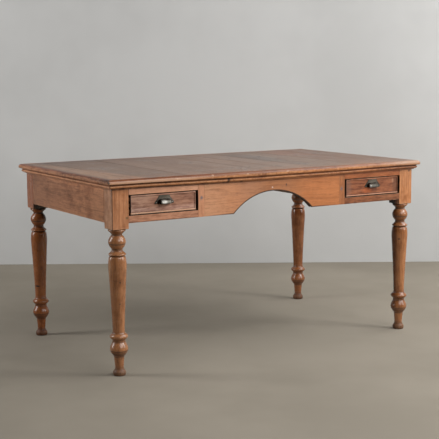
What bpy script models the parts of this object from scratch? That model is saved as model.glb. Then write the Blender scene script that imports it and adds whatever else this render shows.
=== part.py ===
"""An old writing table, built the way a joiner builds one.

Four turned legs are tenoned to two end aprons, a back apron and a front made of rails, stiles and an
arched panel. The top is eight boards that run front to back, inside a mitred edge moulding with a
smaller moulding under it. Two dovetailed drawers slide out at the front.

Metres, +Z up. The origin is on the floor under the middle of the top, and the front looks along -Y.
"""

import math
from typing import NamedTuple

import bmesh
import bpy
from mathutils import Matrix, Vector

# The whole table
TABLE_LENGTH = 1.530
TABLE_DEPTH = 0.900
TABLE_HEIGHT = 0.765

# Fits
GAP = 0.0003  # between two pieces that touch
OVERRUN = 0.004  # how far a cut starts outside the piece
ARRIS = 0.0006  # the worn edge of a board
LEG_ARRIS = 0.0012  # the worn corner of a leg's block
ARRIS_ANGLE_DEGREES = 40  # an edge sharper than this is worn
MERGE_share = 0.1  # of the gap: points of a turning that lie this near are one

# The top
TOP_THICKNESS = 0.018
TOP_OVERHANG = 0.026  # past the legs' faces
EDGE_MOULDING_WIDTH = 0.016
EDGE_NOSE_DEPTH = 0.0075  # how far its round nose stands out from its flat
EDGE_NOSE_STEPS = 8
LOWER_MOULDING_HEIGHT = 0.020
LOWER_MOULDING_DEPTH = 0.016
LOWER_FLAT_share = 0.28  # of the moulding's depth, the flat at its foot
LOWER_WIDEST_share = 0.56  # of its height, where the round ends
LOWER_LIP_share = 0.70  # of its height, where it turns in
LOWER_LIP_OUT_share = 0.90  # of its depth, after the turn
LOWER_TOP_share = 0.80  # of its height, where the step is
LOWER_FILLET_share = 0.72  # of its depth, the narrow part under the top
LOWER_ROUND_STEPS = 4
BOARD_SEAM = 0.0006
BOARD_SEAM_shares = (-0.875, -0.554, -0.060, 0.107, 0.274, 0.587, 0.801)  # of the boards' half length

# The legs
LEG_SQUARE = 0.070
LEG_BLOCK_DROP = 0.022  # how far the square block shows under the aprons
LEG_SIDES = 24
STUB_IN_BLOCK_share = 0.2  # of the leg's square, the part of the turning that runs up into the block

# The frame
APRON_HEIGHT = 0.152
APRON_THICKNESS = 0.024
TENON_THICKNESS = 0.009
TENON_FOOT_share = 0.14  # of the board's height, the shoulder below a tenon
TENON_HEAD_share = 0.24  # and above it, so that the mortise stays closed
LEG_TENON_share = 0.60  # of the leg's square
STILE_TENON_share = 0.36  # of the stile's width
LOWER_RAIL_HEIGHT = 0.028
DRAWER_OPENING_HEIGHT = 0.080
DRAWER_OPENING_LENGTH = 0.305
STILE_WIDTH = 0.030
ARCH_SPAN = 0.392
ARCH_RISE = 0.083
ARCH_STEPS = 22

# What carries the top and the drawers
BEARER_WIDTH = 0.045
BEARER_CLEARANCE = 0.006  # between the drawers' openings and the bearer
BEARER_HOUSING = 0.010  # how deep its ends sit in the end aprons
KICKER_WIDTH = 0.040
KICKER_HEIGHT_share = 0.60  # of the upper rail's height
KICKER_STUB_share = 0.50  # of the kicker's width
RUNNER_SEAT = 0.016  # how far a runner reaches under the drawer
RUNNER_DROP = 0.020  # its height below the drawer
GUIDE_HEIGHT = 0.020
GUIDE_THICKNESS = 0.012
GUIDE_SETBACK = 0.030  # from the rail, so that the gap beside the drawer stays dark
STUB_LENGTH = 0.008  # of the stub tenons on runners and kickers
STUB_THICKNESS = 0.010
STUB_SHIFT_share = 0.25  # of the guide's thickness, how far a runner's stub lies towards its guide
STOP_LENGTH = 0.025
STOP_HEIGHT = 0.014
GLUE_BLOCK = 0.018
GLUE_BLOCK_LENGTH = 0.050
FRONT_GLUE_BLOCK_share = 0.50  # of the way from the middle to the stile
BACK_GLUE_BLOCK_share = 0.60  # of the way from the middle to the leg
END_GLUE_BLOCK_share = 0.55

# The drawers
DRAWER_SIDE_GAP = 0.009
DRAWER_TOP_GAP = 0.004
DRAWER_BOTTOM_GAP = 0.003
DRAWER_RUNNING_GAP = 0.001  # between its sides and the guides
DRAWER_RECESS = 0.0015  # its bead lies this far behind the rails' faces
DRAWER_LENGTH = 0.440  # front to back
DRAWER_FRONT_THICKNESS = 0.020
DRAWER_WALL = 0.010
DRAWER_SIDE_DROP = 0.003  # the sides' top edges, below the front's
DRAWER_BOTTOM_THICKNESS = 0.006
DRAWER_BOTTOM_RISE = 0.008  # its groove, above the sides' lower edges
GROOVE_DEPTH = 0.005
TAIL_LENGTH = 0.013
TAIL_COUNT = 3
TAIL_ROOT_share = 0.46  # of the spacing of the tails
TAIL_TIP_share = 0.66
BEAD_WIDTH = 0.0062
BEAD_HEIGHT = 0.0024
BEAD_STEPS = 6
QUIRK_WIDTH = 0.0012  # the fine groove inside the bead
QUIRK_DEPTH = 0.0010

# The cup pulls
PULL_WIDTH = 0.087
PULL_TOP_WIDTH = 0.047
PULL_HEIGHT = 0.0355
PULL_WING_HEIGHT = 0.006
PULL_PLATE = 0.0018
PULL_METAL = 0.0016
PULL_RISE_share = 0.97  # of the spare height of the drawer front
PULL_FLARE_STEPS = 6
PULL_FLARE_power = 1.25
HOOD_WIDTH = 0.060
HOOD_HEIGHT = 0.027
HOOD_PROJECTION = 0.020
HOOD_SQUARENESS_power = 2.8  # 2 is an ellipse
HOOD_ROOT_share = 0.50  # of the plate's thickness, how deep the hood is rooted in it
HOLLOW_ROOT_share = 0.125  # and how deep its hollow goes
HOOD_ALONG_STEPS = 12
HOOD_QUARTER_STEPS = 6

# A leg's turned members, from the foot up: name, form, height of its top as a share of the turned
# length, radius at its top as a share of the leg's half square, radius half way up it (of a bead only),
# and facets (a bead has that many in each half).
FOOT_RADIUS_share = 0.70
LEG_MEMBER_shares = (
    ("foot", "bead", 0.038, 0.550, 0.745, 2),
    ("ankle cove", "straight", 0.054, 0.490, None, 1),
    ("ankle", "straight", 0.136, 0.575, None, 1),
    ("lower ball", "bead", 0.228, 0.665, 1.000, 3),
    ("ball cove", "straight", 0.243, 0.635, None, 1),
    ("ring foot", "straight", 0.257, 0.760, None, 1),
    ("lower ring", "bead", 0.291, 0.800, 1.000, 2),
    ("ring cove", "hollow", 0.307, 0.665, None, 2),
    ("vase", "swell", 0.747, 1.000, None, 6),
    ("vase shoulder", "shoulder", 0.808, 0.840, None, 3),
    ("quirk", "straight", 0.816, 0.770, None, 1),
    ("neck ring", "bead", 0.842, 0.800, 0.970, 2),
    ("neck", "hollow", 0.858, 0.560, None, 2),
    ("ball foot", "straight", 0.870, 0.575, None, 1),
    ("upper ball", "bead", 0.955, 0.580, 0.980, 3),
    ("collar neck", "straight", 0.965, 0.530, None, 1),
    ("collar", "straight", 0.985, 0.880, None, 1),
    ("collar edge", "straight", 0.989, 0.940, None, 1),
)
VASE_LAG_power = 1.4  # how late the vase swells

# Places worked out from the sizes above
HALF_LENGTH = TABLE_LENGTH / 2 - TOP_OVERHANG
HALF_DEPTH = TABLE_DEPTH / 2 - TOP_OVERHANG
TOP_UNDERSIDE = TABLE_HEIGHT - TOP_THICKNESS
FRAME_TOP = TOP_UNDERSIDE - GAP
APRON_BOTTOM = FRAME_TOP - APRON_HEIGHT
BLOCK_BOTTOM = APRON_BOTTOM - LEG_BLOCK_DROP
LEG_INNER_X = HALF_LENGTH - LEG_SQUARE
LEG_INNER_Y = HALF_DEPTH - LEG_SQUARE
APRON_INNER_X = HALF_LENGTH - APRON_THICKNESS
APRON_INNER_Y = HALF_DEPTH - APRON_THICKNESS
LEG_TENON = LEG_SQUARE * LEG_TENON_share
STILE_TENON = STILE_WIDTH * STILE_TENON_share
OPENING_LOW = APRON_BOTTOM + LOWER_RAIL_HEIGHT
OPENING_HIGH = OPENING_LOW + DRAWER_OPENING_HEIGHT
OPENING_INNER_X = LEG_INNER_X - DRAWER_OPENING_LENGTH
STILE_INNER_X = OPENING_INNER_X - STILE_WIDTH
OPENING_MIDDLE_X = (OPENING_INNER_X + LEG_INNER_X) / 2
DRAWER_HALF_WIDTH = DRAWER_OPENING_LENGTH / 2 - DRAWER_SIDE_GAP
DRAWER_LOW = OPENING_LOW + DRAWER_BOTTOM_GAP
DRAWER_HIGH = OPENING_HIGH - DRAWER_TOP_GAP
DRAWER_FACE_Y = -HALF_DEPTH + DRAWER_RECESS
DRAWER_FIELD_Y = DRAWER_FACE_Y + BEAD_HEIGHT
DRAWER_FRONT_BACK_Y = DRAWER_FACE_Y + DRAWER_FRONT_THICKNESS
DRAWER_END_Y = DRAWER_FACE_Y + DRAWER_LENGTH
DRAWER_SIDE_HIGH = DRAWER_HIGH - DRAWER_SIDE_DROP
BOTTOM_LOW = DRAWER_LOW + DRAWER_BOTTOM_RISE
BOTTOM_HIGH = BOTTOM_LOW + DRAWER_BOTTOM_THICKNESS
SEAT_TOP = DRAWER_LOW - GAP
SEAT_LOW = SEAT_TOP - RUNNER_DROP
BEARER_LOW = OPENING_HIGH + BEARER_CLEARANCE

SIDES = {"left": -1, "right": 1}
ENDS = {"front": -1, "back": 1}


class Box(NamedTuple):
    """A block whose faces lie across the axes, by its lowest and highest corners."""

    low: Vector
    high: Vector

    def grown(self, by):
        """The same block with each face moved out."""
        step = Vector((by, by, by))
        return Box(self.low - step, self.high + step)

    def middle(self):
        return (self.low + self.high) / 2


def block(x, y, z):
    """A block from three pairs of coordinates, each in either order."""
    pairs = [sorted(pair) for pair in (x, y, z)]
    return Box(Vector([pair[0] for pair in pairs]), Vector([pair[1] for pair in pairs]))


def material(name, colour, roughness, metallic=0.0):
    """A plain Principled material."""
    made = bpy.data.materials.new(name)
    made.use_nodes = True
    shader = made.node_tree.nodes["Principled BSDF"]
    shader.inputs["Base Color"].default_value = (*colour, 1)
    shader.inputs["Roughness"].default_value = roughness
    shader.inputs["Metallic"].default_value = metallic
    made.diffuse_color = (*colour, 1)
    return made


def clear_scene():
    for obj in list(bpy.data.objects):
        bpy.data.objects.remove(obj, do_unlink=True)


def boxes_mesh(boxes):
    """A bmesh that holds each block as a closed body of its own."""
    bm = bmesh.new()
    for box in boxes:
        size = box.high - box.low
        place = Matrix.Translation(box.middle()) @ Matrix.Diagonal((*size, 1))
        bmesh.ops.create_cube(bm, size=1, matrix=place)
    return bm


def prism_mesh(outline, plane, start, end):
    """A flat outline drawn out square to its plane.

    plane is "yz" or "xz", and start and end are the coordinates on the third axis.
    """
    bm = bmesh.new()
    places = {"yz": lambda u, v: (start, u, v), "xz": lambda u, v: (u, start, v)}
    face = bm.faces.new([bm.verts.new(places[plane](u, v)) for u, v in outline])
    drawn = bmesh.ops.extrude_face_region(bm, geom=[face])
    along = Vector((end - start, 0, 0)) if plane == "yz" else Vector((0, end - start, 0))
    moved = [item for item in drawn["geom"] if isinstance(item, bmesh.types.BMVert)]
    bmesh.ops.translate(bm, verts=moved, vec=along)
    return bm


def add_object(name, bm, finish, origin, parent=None):
    """Makes an object of a bmesh drawn in table coordinates, with its origin where the piece has it."""
    bmesh.ops.recalc_face_normals(bm, faces=bm.faces)
    mesh = bpy.data.meshes.new(name)
    bm.to_mesh(mesh)
    bm.free()
    mesh.transform(Matrix.Translation(-origin))
    if finish is not None:
        mesh.materials.append(finish)
    obj = bpy.data.objects.new(name, mesh)
    obj.parent = parent
    obj.location = origin - parent.location if parent else origin
    bpy.context.scene.collection.objects.link(obj)
    return obj


def add_boolean(obj, bm, operation, label):
    """Cuts a shape, drawn in table coordinates, out of a piece or joins it on."""
    origin = obj.location + obj.parent.location if obj.parent else obj.location.copy()
    helper = add_object(f"{obj.name}_{label}", bm, None, origin)
    helper.parent = obj
    helper.location = (0, 0, 0)
    helper.hide_render = True
    helper.display_type = "WIRE"
    change = obj.modifiers.new(label, "BOOLEAN")
    change.operation = operation
    change.object = helper
    change.solver = "EXACT"


def add_bevel(obj, width):
    """Eases a piece's sharp edges."""
    bevel = obj.modifiers.new("arris", "BEVEL")
    bevel.width = width
    bevel.segments = 1
    bevel.limit_method = "ANGLE"
    bevel.angle_limit = math.radians(ARRIS_ANGLE_DEGREES)


def board(name, box, finish, tenons=(), mortises=(), arris=ARRIS, parent=None):
    """A sawn piece with its tenons joined on and its mortises cut a gap wider than what goes in."""
    obj = add_object(name, boxes_mesh([box]), finish, box.middle(), parent)
    add_bevel(obj, arris)
    if tenons:
        add_boolean(obj, boxes_mesh(tenons), "UNION", "tenons")
    if mortises:
        add_boolean(obj, boxes_mesh([tenon.grown(GAP) for tenon in mortises]), "DIFFERENCE", "mortises")
    return obj


# Turned legs


def quarter_round(start, end, steps, axial_start):
    """The points after start on a quarter of an ellipse to end, both as (radius, height).

    It sets off along the leg's axis where axial_start is true, and square to the axis otherwise.
    """
    points = []
    for step in range(1, steps + 1):
        angle = math.pi / 2 * step / steps
        slow, fast = 1 - math.cos(angle), math.sin(angle)
        along, across = (fast, slow) if axial_start else (slow, fast)
        radius = start[0] + (end[0] - start[0]) * across
        points.append((radius, start[1] + (end[1] - start[1]) * along))
    return points


def bead_curve(start, end, widest, steps):
    """The points after start on a bead: an ellipse round the axis, cut off where it meets its ends."""
    middle, half_height = (start[1] + end[1]) / 2, (end[1] - start[1]) / 2
    points = []
    for edge, direction in ((start, -1), (end, 1)):
        opening = math.acos(edge[0] / widest)
        shares = [step / steps for step in range(1, steps + 1)]
        for share in [1 - share for share in shares] if edge is start else shares:
            rise = math.sin(opening * share) / math.sin(opening)
            points.append((widest * math.cos(opening * share), middle + direction * half_height * rise))
    return points


def vase_curve(start, end, steps):
    """The long swelling of the vase: slow at first, then full, then level at its widest."""
    points = []
    for step in range(1, steps + 1):
        late = (step / steps) ** VASE_LAG_power
        swell = late * late * (3 - 2 * late)
        height = start[1] + (end[1] - start[1]) * step / steps
        points.append((start[0] + (end[0] - start[0]) * swell, height))
    return points


def leg_profile():
    """The turned part's profile from the foot up, as (radius, height)."""
    half = LEG_SQUARE / 2
    points = [(half * FOOT_RADIUS_share, 0.0)]
    for _, form, top_share, radius_share, widest_share, steps in LEG_MEMBER_shares:
        start = points[-1]
        end = (half * radius_share, BLOCK_BOTTOM * top_share)
        if form == "bead":
            points += bead_curve(start, end, half * widest_share, steps)
        elif form == "swell":
            points += vase_curve(start, end, steps)
        elif form == "straight":
            points.append(end)
        else:
            points += quarter_round(start, end, steps, axial_start=form == "shoulder")
    points.append((points[-1][0], BLOCK_BOTTOM + LEG_SQUARE * STUB_IN_BLOCK_share))
    return points


def turned_mesh(profile, centre):
    """The solid that a profile of (radius, height) sweeps round an upright axis through centre."""
    bm = bmesh.new()
    closed = [(0.0, profile[0][1])] + profile + [(0.0, profile[-1][1])]
    verts = [bm.verts.new(centre + Vector((radius, 0, height))) for radius, height in closed]
    edges = [bm.edges.new(pair) for pair in zip(verts, verts[1:])]
    bmesh.ops.spin(
        bm,
        geom=verts + edges,
        cent=centre,
        axis=(0, 0, 1),
        angle=2 * math.pi,
        steps=LEG_SIDES,
        use_merge=True,
    )
    bmesh.ops.remove_doubles(bm, verts=bm.verts, dist=GAP * MERGE_share)
    return bm


def leg(name, side, end, finish, mortises):
    """A leg: the turned part and the square block, which the aprons' tenons enter."""
    x = side * (HALF_LENGTH - LEG_SQUARE / 2)
    y = end * (HALF_DEPTH - LEG_SQUARE / 2)
    half = LEG_SQUARE / 2
    square = block((x - half, x + half), (y - half, y + half), (BLOCK_BOTTOM, FRAME_TOP))
    obj = add_object(name, boxes_mesh([square]), finish, Vector((x, y, 0)))
    add_bevel(obj, LEG_ARRIS)
    add_boolean(obj, turned_mesh(leg_profile(), Vector((x, y, 0))), "UNION", "turning")
    add_boolean(obj, boxes_mesh([tenon.grown(GAP) for tenon in mortises]), "DIFFERENCE", "mortises")


# Frame


def tenon_heights(low, high):
    """Where a tenon starts and ends on a board of these heights."""
    return (low + (high - low) * TENON_FOOT_share, high - (high - low) * TENON_HEAD_share)


def tenon_thickness(outer, inward):
    """A tenon's two faces: it lies in the middle of a board that starts at outer."""
    near = outer + inward * (APRON_THICKNESS - TENON_THICKNESS) / 2
    return (near, near + inward * TENON_THICKNESS)


def x_tenon(root, length, y_outer, inward, low, high):
    """A tenon that points along X from its root, which it overlaps by the overrun."""
    sign = math.copysign(1, length)
    return block(
        (root - sign * OVERRUN, root + length), tenon_thickness(y_outer, inward), tenon_heights(low, high)
    )


def y_tenon(root, length, x_outer, inward, low, high):
    """A tenon that points along Y from its root, which it overlaps by the overrun."""
    sign = math.copysign(1, length)
    return block(
        tenon_thickness(x_outer, inward), (root - sign * OVERRUN, root + length), tenon_heights(low, high)
    )


def build_end_aprons(finish):
    """The two end aprons, flush with the legs, and the tenons that the legs are cut for."""
    tenons = {}
    for side_name, side in SIDES.items():
        outer, inner = side * HALF_LENGTH, side * APRON_INNER_X
        reach = LEG_INNER_Y - GAP
        ends = {
            end_name: y_tenon(end * reach, end * LEG_TENON, outer, -side, APRON_BOTTOM, FRAME_TOP)
            for end_name, end in ENDS.items()
        }
        body = block((outer, inner), (-reach, reach), (APRON_BOTTOM, FRAME_TOP))
        housing = bearer_box()
        board(f"end_apron_{side_name}", body, finish, ends.values(), [housing])
        for end_name, tenon in ends.items():
            tenons[side_name, end_name] = tenon
    return tenons


def build_back_apron(finish):
    """The back apron, with housings for the runners' stubs."""
    tenons = {
        side_name: x_tenon(
            side * (LEG_INNER_X - GAP), side * LEG_TENON, HALF_DEPTH, -1, APRON_BOTTOM, FRAME_TOP
        )
        for side_name, side in SIDES.items()
    }
    reach = LEG_INNER_X - GAP
    body = block((-reach, reach), (APRON_INNER_Y, HALF_DEPTH), (APRON_BOTTOM, FRAME_TOP))
    stubs = [stub for side in SIDES.values() for stub in runner_stubs(side, back=True)]
    board("back_apron", body, finish, tenons.values(), stubs)
    return tenons


def rail_boxes(side):
    """The bodies of a drawer's lower and upper rail."""
    x = (side * (OPENING_INNER_X + GAP), side * (LEG_INNER_X - GAP))
    y = (-HALF_DEPTH, -APRON_INNER_Y)
    return {
        "lower_rail": block(x, y, (APRON_BOTTOM, OPENING_LOW)),
        "upper_rail": block(x, y, (OPENING_HIGH, FRAME_TOP)),
    }


def rail_tenons(side):
    """Each rail's tenon into the leg and its tenon into the stile."""
    tenons = {}
    for name, box in rail_boxes(side).items():
        low, high = box.low.z, box.high.z
        tenons[name] = {
            "leg": x_tenon(side * (LEG_INNER_X - GAP), side * LEG_TENON, -HALF_DEPTH, 1, low, high),
            "stile": x_tenon(side * (OPENING_INNER_X + GAP), -side * STILE_TENON, -HALF_DEPTH, 1, low, high),
        }
    return tenons


def build_rails(finish):
    """The rails above and below each drawer."""
    for side_name, side in SIDES.items():
        tenons = rail_tenons(side)
        for name, box in rail_boxes(side).items():
            stubs = runner_stubs(side, back=False) if name == "lower_rail" else [kicker_stubs(side)[0]]
            board(f"{name}_{side_name}", box, finish, tenons[name].values(), stubs)


def panel_tenon(side):
    """The arched panel's tenon into a stile."""
    root = side * (STILE_INNER_X - GAP)
    return x_tenon(root, side * STILE_TENON, -HALF_DEPTH, 1, APRON_BOTTOM, FRAME_TOP)


def build_stiles(finish):
    """The upright between the arched panel and each drawer."""
    for side_name, side in SIDES.items():
        body = block(
            (side * STILE_INNER_X, side * OPENING_INNER_X),
            (-HALF_DEPTH, -APRON_INNER_Y),
            (APRON_BOTTOM, FRAME_TOP),
        )
        mortises = [tenons["stile"] for tenons in rail_tenons(side).values()]
        board(f"stile_{side_name}", body, finish, (), mortises + [panel_tenon(side)])


def arch_outline():
    """The arched panel's outline in x and z: a circular arch cut up into its lower edge."""
    half_span = ARCH_SPAN / 2
    radius = (half_span**2 + ARCH_RISE**2) / (2 * ARCH_RISE)
    centre = APRON_BOTTOM + ARCH_RISE - radius
    opening = math.asin(half_span / radius)
    reach = STILE_INNER_X - GAP
    outline = [(reach, FRAME_TOP), (-reach, FRAME_TOP), (-reach, APRON_BOTTOM)]
    for step in range(ARCH_STEPS + 1):
        angle = opening * (2 * step / ARCH_STEPS - 1)
        outline.append((radius * math.sin(angle), centre + radius * math.cos(angle)))
    return outline + [(reach, APRON_BOTTOM)]


def build_arch_panel(finish):
    """The panel over the knees, tenoned into both stiles."""
    bm = prism_mesh(arch_outline(), "xz", -HALF_DEPTH, -APRON_INNER_Y)
    origin = Vector((0, -HALF_DEPTH + APRON_THICKNESS / 2, FRAME_TOP))
    obj = add_object("arch_panel", bm, finish, origin)
    add_bevel(obj, ARRIS)
    add_boolean(obj, boxes_mesh([panel_tenon(side) for side in SIDES.values()]), "UNION", "tenons")


def build_legs(finish, end_tenons, back_tenons):
    """Four legs, each cut for the tenons that meet in it."""
    for side_name, side in SIDES.items():
        front = [tenons["leg"] for tenons in rail_tenons(side).values()]
        meeting = {"front": front, "back": [back_tenons[side_name]]}
        for end_name, end in ENDS.items():
            mortises = meeting[end_name] + [end_tenons[side_name, end_name]]
            leg(f"leg_{end_name}_{side_name}", side, end, finish, mortises)


# Top


def mitred_strip(profile, half_run, outer_side):
    """A moulding along one side of a rectangle, its ends cut at 45 degrees.

    profile holds (out, z), where out is the distance from the rectangle, and half_run is half the
    rectangle's side. outer_side gives, for (run, out, z), the place in table coordinates.
    """
    bm = bmesh.new()
    rings = []
    for sign in (-1, 1):
        ring = [outer_side(sign * (half_run + out - GAP / 2), out, z) for out, z in profile]
        rings.append([bm.verts.new(point) for point in ring])
    bm.faces.new(rings[0])
    bm.faces.new(list(reversed(rings[1])))
    count = len(profile)
    for index in range(count):
        following = (index + 1) % count
        bm.faces.new((rings[0][index], rings[1][index], rings[1][following], rings[0][following]))
    return bm


def build_mouldings(name, profile, half_x, half_y, finish):
    """Four mitred lengths of one moulding round a rectangle of these half sizes."""
    sides = {
        "front": (half_x, lambda run, out, z: (run, -half_y - out, z), Vector((0, -half_y, 0))),
        "back": (half_x, lambda run, out, z: (run, half_y + out, z), Vector((0, half_y, 0))),
        "left": (half_y, lambda run, out, z: (-half_x - out, run, z), Vector((-half_x, 0, 0))),
        "right": (half_y, lambda run, out, z: (half_x + out, run, z), Vector((half_x, 0, 0))),
    }
    for side_name, (half_run, outer_side, origin) in sides.items():
        origin.z = profile[0][1]
        add_object(f"{name}_{side_name}", mitred_strip(profile, half_run, outer_side), finish, origin)


def edge_profile():
    """The edge moulding's section: flat above and below, with a round nose."""
    flat = EDGE_MOULDING_WIDTH - EDGE_NOSE_DEPTH
    half = TOP_THICKNESS / 2
    points = [(0, TOP_UNDERSIDE)]
    for step in range(EDGE_NOSE_STEPS + 1):
        angle = math.pi * (step / EDGE_NOSE_STEPS - 0.5)
        out = flat + EDGE_NOSE_DEPTH * math.cos(angle)
        points.append((out, TOP_UNDERSIDE + half * (1 + math.sin(angle))))
    return points + [(0, TABLE_HEIGHT)]


def lower_profile():
    """The lower moulding's section: a quarter round that swells out, then a step in below the top."""
    depth, height = LOWER_MOULDING_DEPTH, LOWER_MOULDING_HEIGHT - GAP
    low = FRAME_TOP - height
    points = [(0, low)]
    start = LOWER_FLAT_share
    for step in range(LOWER_ROUND_STEPS + 1):
        angle = math.pi / 2 * step / LOWER_ROUND_STEPS
        out = start + (1 - start) * math.sin(angle)
        points.append((depth * out, low + height * LOWER_WIDEST_share * (1 - math.cos(angle))))
    points.append((depth, low + height * LOWER_LIP_share))
    points.append((depth * LOWER_LIP_OUT_share, low + height * LOWER_TOP_share))
    points.append((depth * LOWER_FILLET_share, low + height * LOWER_TOP_share))
    points.append((depth * LOWER_FILLET_share, FRAME_TOP))
    return points + [(0, FRAME_TOP)]


def build_top(finish, moulding_finish):
    """The boards, and the moulding that is mitred round them."""
    half_x = TABLE_LENGTH / 2 - EDGE_MOULDING_WIDTH
    half_y = TABLE_DEPTH / 2 - EDGE_MOULDING_WIDTH
    build_mouldings("edge_moulding", edge_profile(), half_x, half_y, moulding_finish)
    reach_x, reach_y = half_x - GAP, half_y - GAP
    seams = [reach_x * share for share in BOARD_SEAM_shares]
    starts = [-reach_x] + [seam + BOARD_SEAM / 2 for seam in seams]
    stops = [seam - BOARD_SEAM / 2 for seam in seams] + [reach_x]
    for number, (start, stop) in enumerate(zip(starts, stops), 1):
        body = block((start, stop), (-reach_y, reach_y), (TOP_UNDERSIDE, TABLE_HEIGHT))
        board(f"top_board_{number}", body, finish)


# What carries the top and the drawers


def bearer_box():
    """The bearer under the boards, which runs from one end apron into the other."""
    reach = APRON_INNER_X + BEARER_HOUSING
    half = BEARER_WIDTH / 2
    return block((-reach, reach), (-half, half), (BEARER_LOW, FRAME_TOP))


def kicker_box(side):
    """A kicker over a drawer, from the upper rail to the bearer."""
    x = side * OPENING_MIDDLE_X
    half = KICKER_WIDTH / 2
    y = (-APRON_INNER_Y + GAP, -BEARER_WIDTH / 2 - GAP)
    height = (FRAME_TOP - OPENING_HIGH) * KICKER_HEIGHT_share
    return block((x - half, x + half), y, (OPENING_HIGH, OPENING_HIGH + height))


def kicker_stubs(side):
    """A kicker's stub tenons: into the upper rail, and into the bearer."""
    box = kicker_box(side)
    x = side * OPENING_MIDDLE_X
    half = KICKER_WIDTH * KICKER_STUB_share / 2
    middle = (box.high.z + max(box.low.z, BEARER_LOW)) / 2
    z = (middle - STUB_THICKNESS / 2, middle + STUB_THICKNESS / 2)
    return [
        block((x - half, x + half), (box.low.y - STUB_LENGTH, box.low.y + OVERRUN), z),
        block((x - half, x + half), (box.high.y - OVERRUN, box.high.y + STUB_LENGTH), z),
    ]


def build_bearer_and_kickers(finish):
    """The bearer and the kickers that are tenoned into it."""
    stubs = [kicker_stubs(side)[1] for side in SIDES.values()]
    board("top_bearer", bearer_box(), finish, (), stubs)
    for side_name, side in SIDES.items():
        board(f"kicker_{side_name}", kicker_box(side), finish, kicker_stubs(side))


def runner_boxes(side, inner):
    """The two blocks that a runner is made of: the seat under the drawer, and the guide beside it."""
    if inner:
        wall = OPENING_INNER_X + DRAWER_SIDE_GAP - DRAWER_RUNNING_GAP
        edge = wall - GUIDE_THICKNESS
        reach = wall + DRAWER_RUNNING_GAP + RUNNER_SEAT
        guide_y = (-APRON_INNER_Y + GUIDE_SETBACK, APRON_INNER_Y - GAP)
        seat_x, guide_x = (edge, reach), (edge, wall)
    else:
        wall = LEG_INNER_X - DRAWER_SIDE_GAP + DRAWER_RUNNING_GAP
        reach = wall - DRAWER_RUNNING_GAP - RUNNER_SEAT
        guide_y = (-LEG_INNER_Y + GAP, LEG_INNER_Y - GAP)
        seat_x, guide_x = (LEG_INNER_X - GAP, reach), (APRON_INNER_X - GAP, wall)
    seat_y = (-APRON_INNER_Y + GAP, APRON_INNER_Y - GAP)
    seat = block([side * x for x in seat_x], seat_y, (SEAT_LOW, SEAT_TOP))
    guide = block([side * x for x in guide_x], guide_y, (SEAT_LOW, SEAT_TOP + GUIDE_HEIGHT))
    return seat, guide


def runner_stubs(side, back):
    """The stub tenons of both runners of a drawer, at the back apron or at the lower rail."""
    stubs = []
    half = STUB_THICKNESS / 2
    middle_z = (max(SEAT_LOW, APRON_BOTTOM) + min(SEAT_TOP, OPENING_LOW)) / 2
    for inner in (True, False):
        seat, _ = runner_boxes(side, inner)
        shift = GUIDE_THICKNESS * STUB_SHIFT_share * (-1 if inner else 1)
        middle_x = seat.middle().x + side * shift
        if back:
            y = (seat.high.y - OVERRUN, seat.high.y + STUB_LENGTH)
        else:
            y = (seat.low.y - STUB_LENGTH, seat.low.y + OVERRUN)
        stubs.append(block((middle_x - half, middle_x + half), y, (middle_z - half, middle_z + half)))
    return stubs


def build_runners(finish):
    """The runners, each with its guide, and the stop behind each drawer."""
    for side_name, side in SIDES.items():
        for place, name in enumerate(("inner", "outer")):
            seat, guide = runner_boxes(side, inner=name == "inner")
            stubs = [runner_stubs(side, back)[place] for back in (False, True)]
            obj = board(f"runner_{side_name}_{name}", seat, finish)
            add_boolean(obj, boxes_mesh([guide]), "UNION", "guide")
            add_boolean(obj, boxes_mesh(stubs), "UNION", "stubs")
        inner_side = OPENING_INNER_X + DRAWER_SIDE_GAP
        stop = block(
            (side * inner_side, side * (inner_side + DRAWER_WALL)),
            (DRAWER_END_Y + GAP, DRAWER_END_Y + GAP + STOP_LENGTH),
            (SEAT_TOP + GAP, SEAT_TOP + GAP + STOP_HEIGHT),
        )
        board(f"drawer_stop_{side_name}", stop, finish)


def build_glue_blocks(finish):
    """Blocks rubbed into the corners between the aprons and the boards."""
    half = GLUE_BLOCK_LENGTH / 2
    z = (FRAME_TOP - GLUE_BLOCK, FRAME_TOP)
    deep = APRON_INNER_Y - GAP
    for side_name, side in SIDES.items():
        places = {
            "front": (side * STILE_INNER_X * FRONT_GLUE_BLOCK_share, -deep),
            "back": (side * LEG_INNER_X * BACK_GLUE_BLOCK_share, deep),
        }
        for end_name, (x, y) in places.items():
            inward = math.copysign(GLUE_BLOCK, -y)
            rubbed = block((x - half, x + half), (y, y + inward), z)
            board(f"glue_block_{end_name}_{side_name}", rubbed, finish)
        x = side * (APRON_INNER_X - GAP)
        y = LEG_INNER_Y * END_GLUE_BLOCK_share
        end_block = block((x, x - side * GLUE_BLOCK), (y - half, y + half), z)
        board(f"glue_block_end_{side_name}", end_block, finish)


# Drawers


def tail_outlines(root, tip, low, high, clearance):
    """The four corners, as (y, z), of each dovetail between two heights, from the root to the tip."""
    pitch = (high - low) / TAIL_COUNT
    away = math.copysign(1, tip - root)
    outlines = []
    for number in range(TAIL_COUNT):
        middle = low + pitch * (number + 0.5)
        narrow = pitch * TAIL_ROOT_share / 2 + clearance
        wide = pitch * TAIL_TIP_share / 2 + clearance
        end = tip + away * clearance
        outlines.append(
            [(root, middle - narrow), (end, middle - wide), (end, middle + wide), (root, middle + narrow)]
        )
    return outlines


def front_tails(clearance=0.0, root=DRAWER_FRONT_BACK_Y + GAP):
    """The dovetails that lap into the drawer front."""
    tip = DRAWER_FRONT_BACK_Y - TAIL_LENGTH
    return tail_outlines(root, tip, DRAWER_LOW, DRAWER_SIDE_HIGH, clearance)


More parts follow.
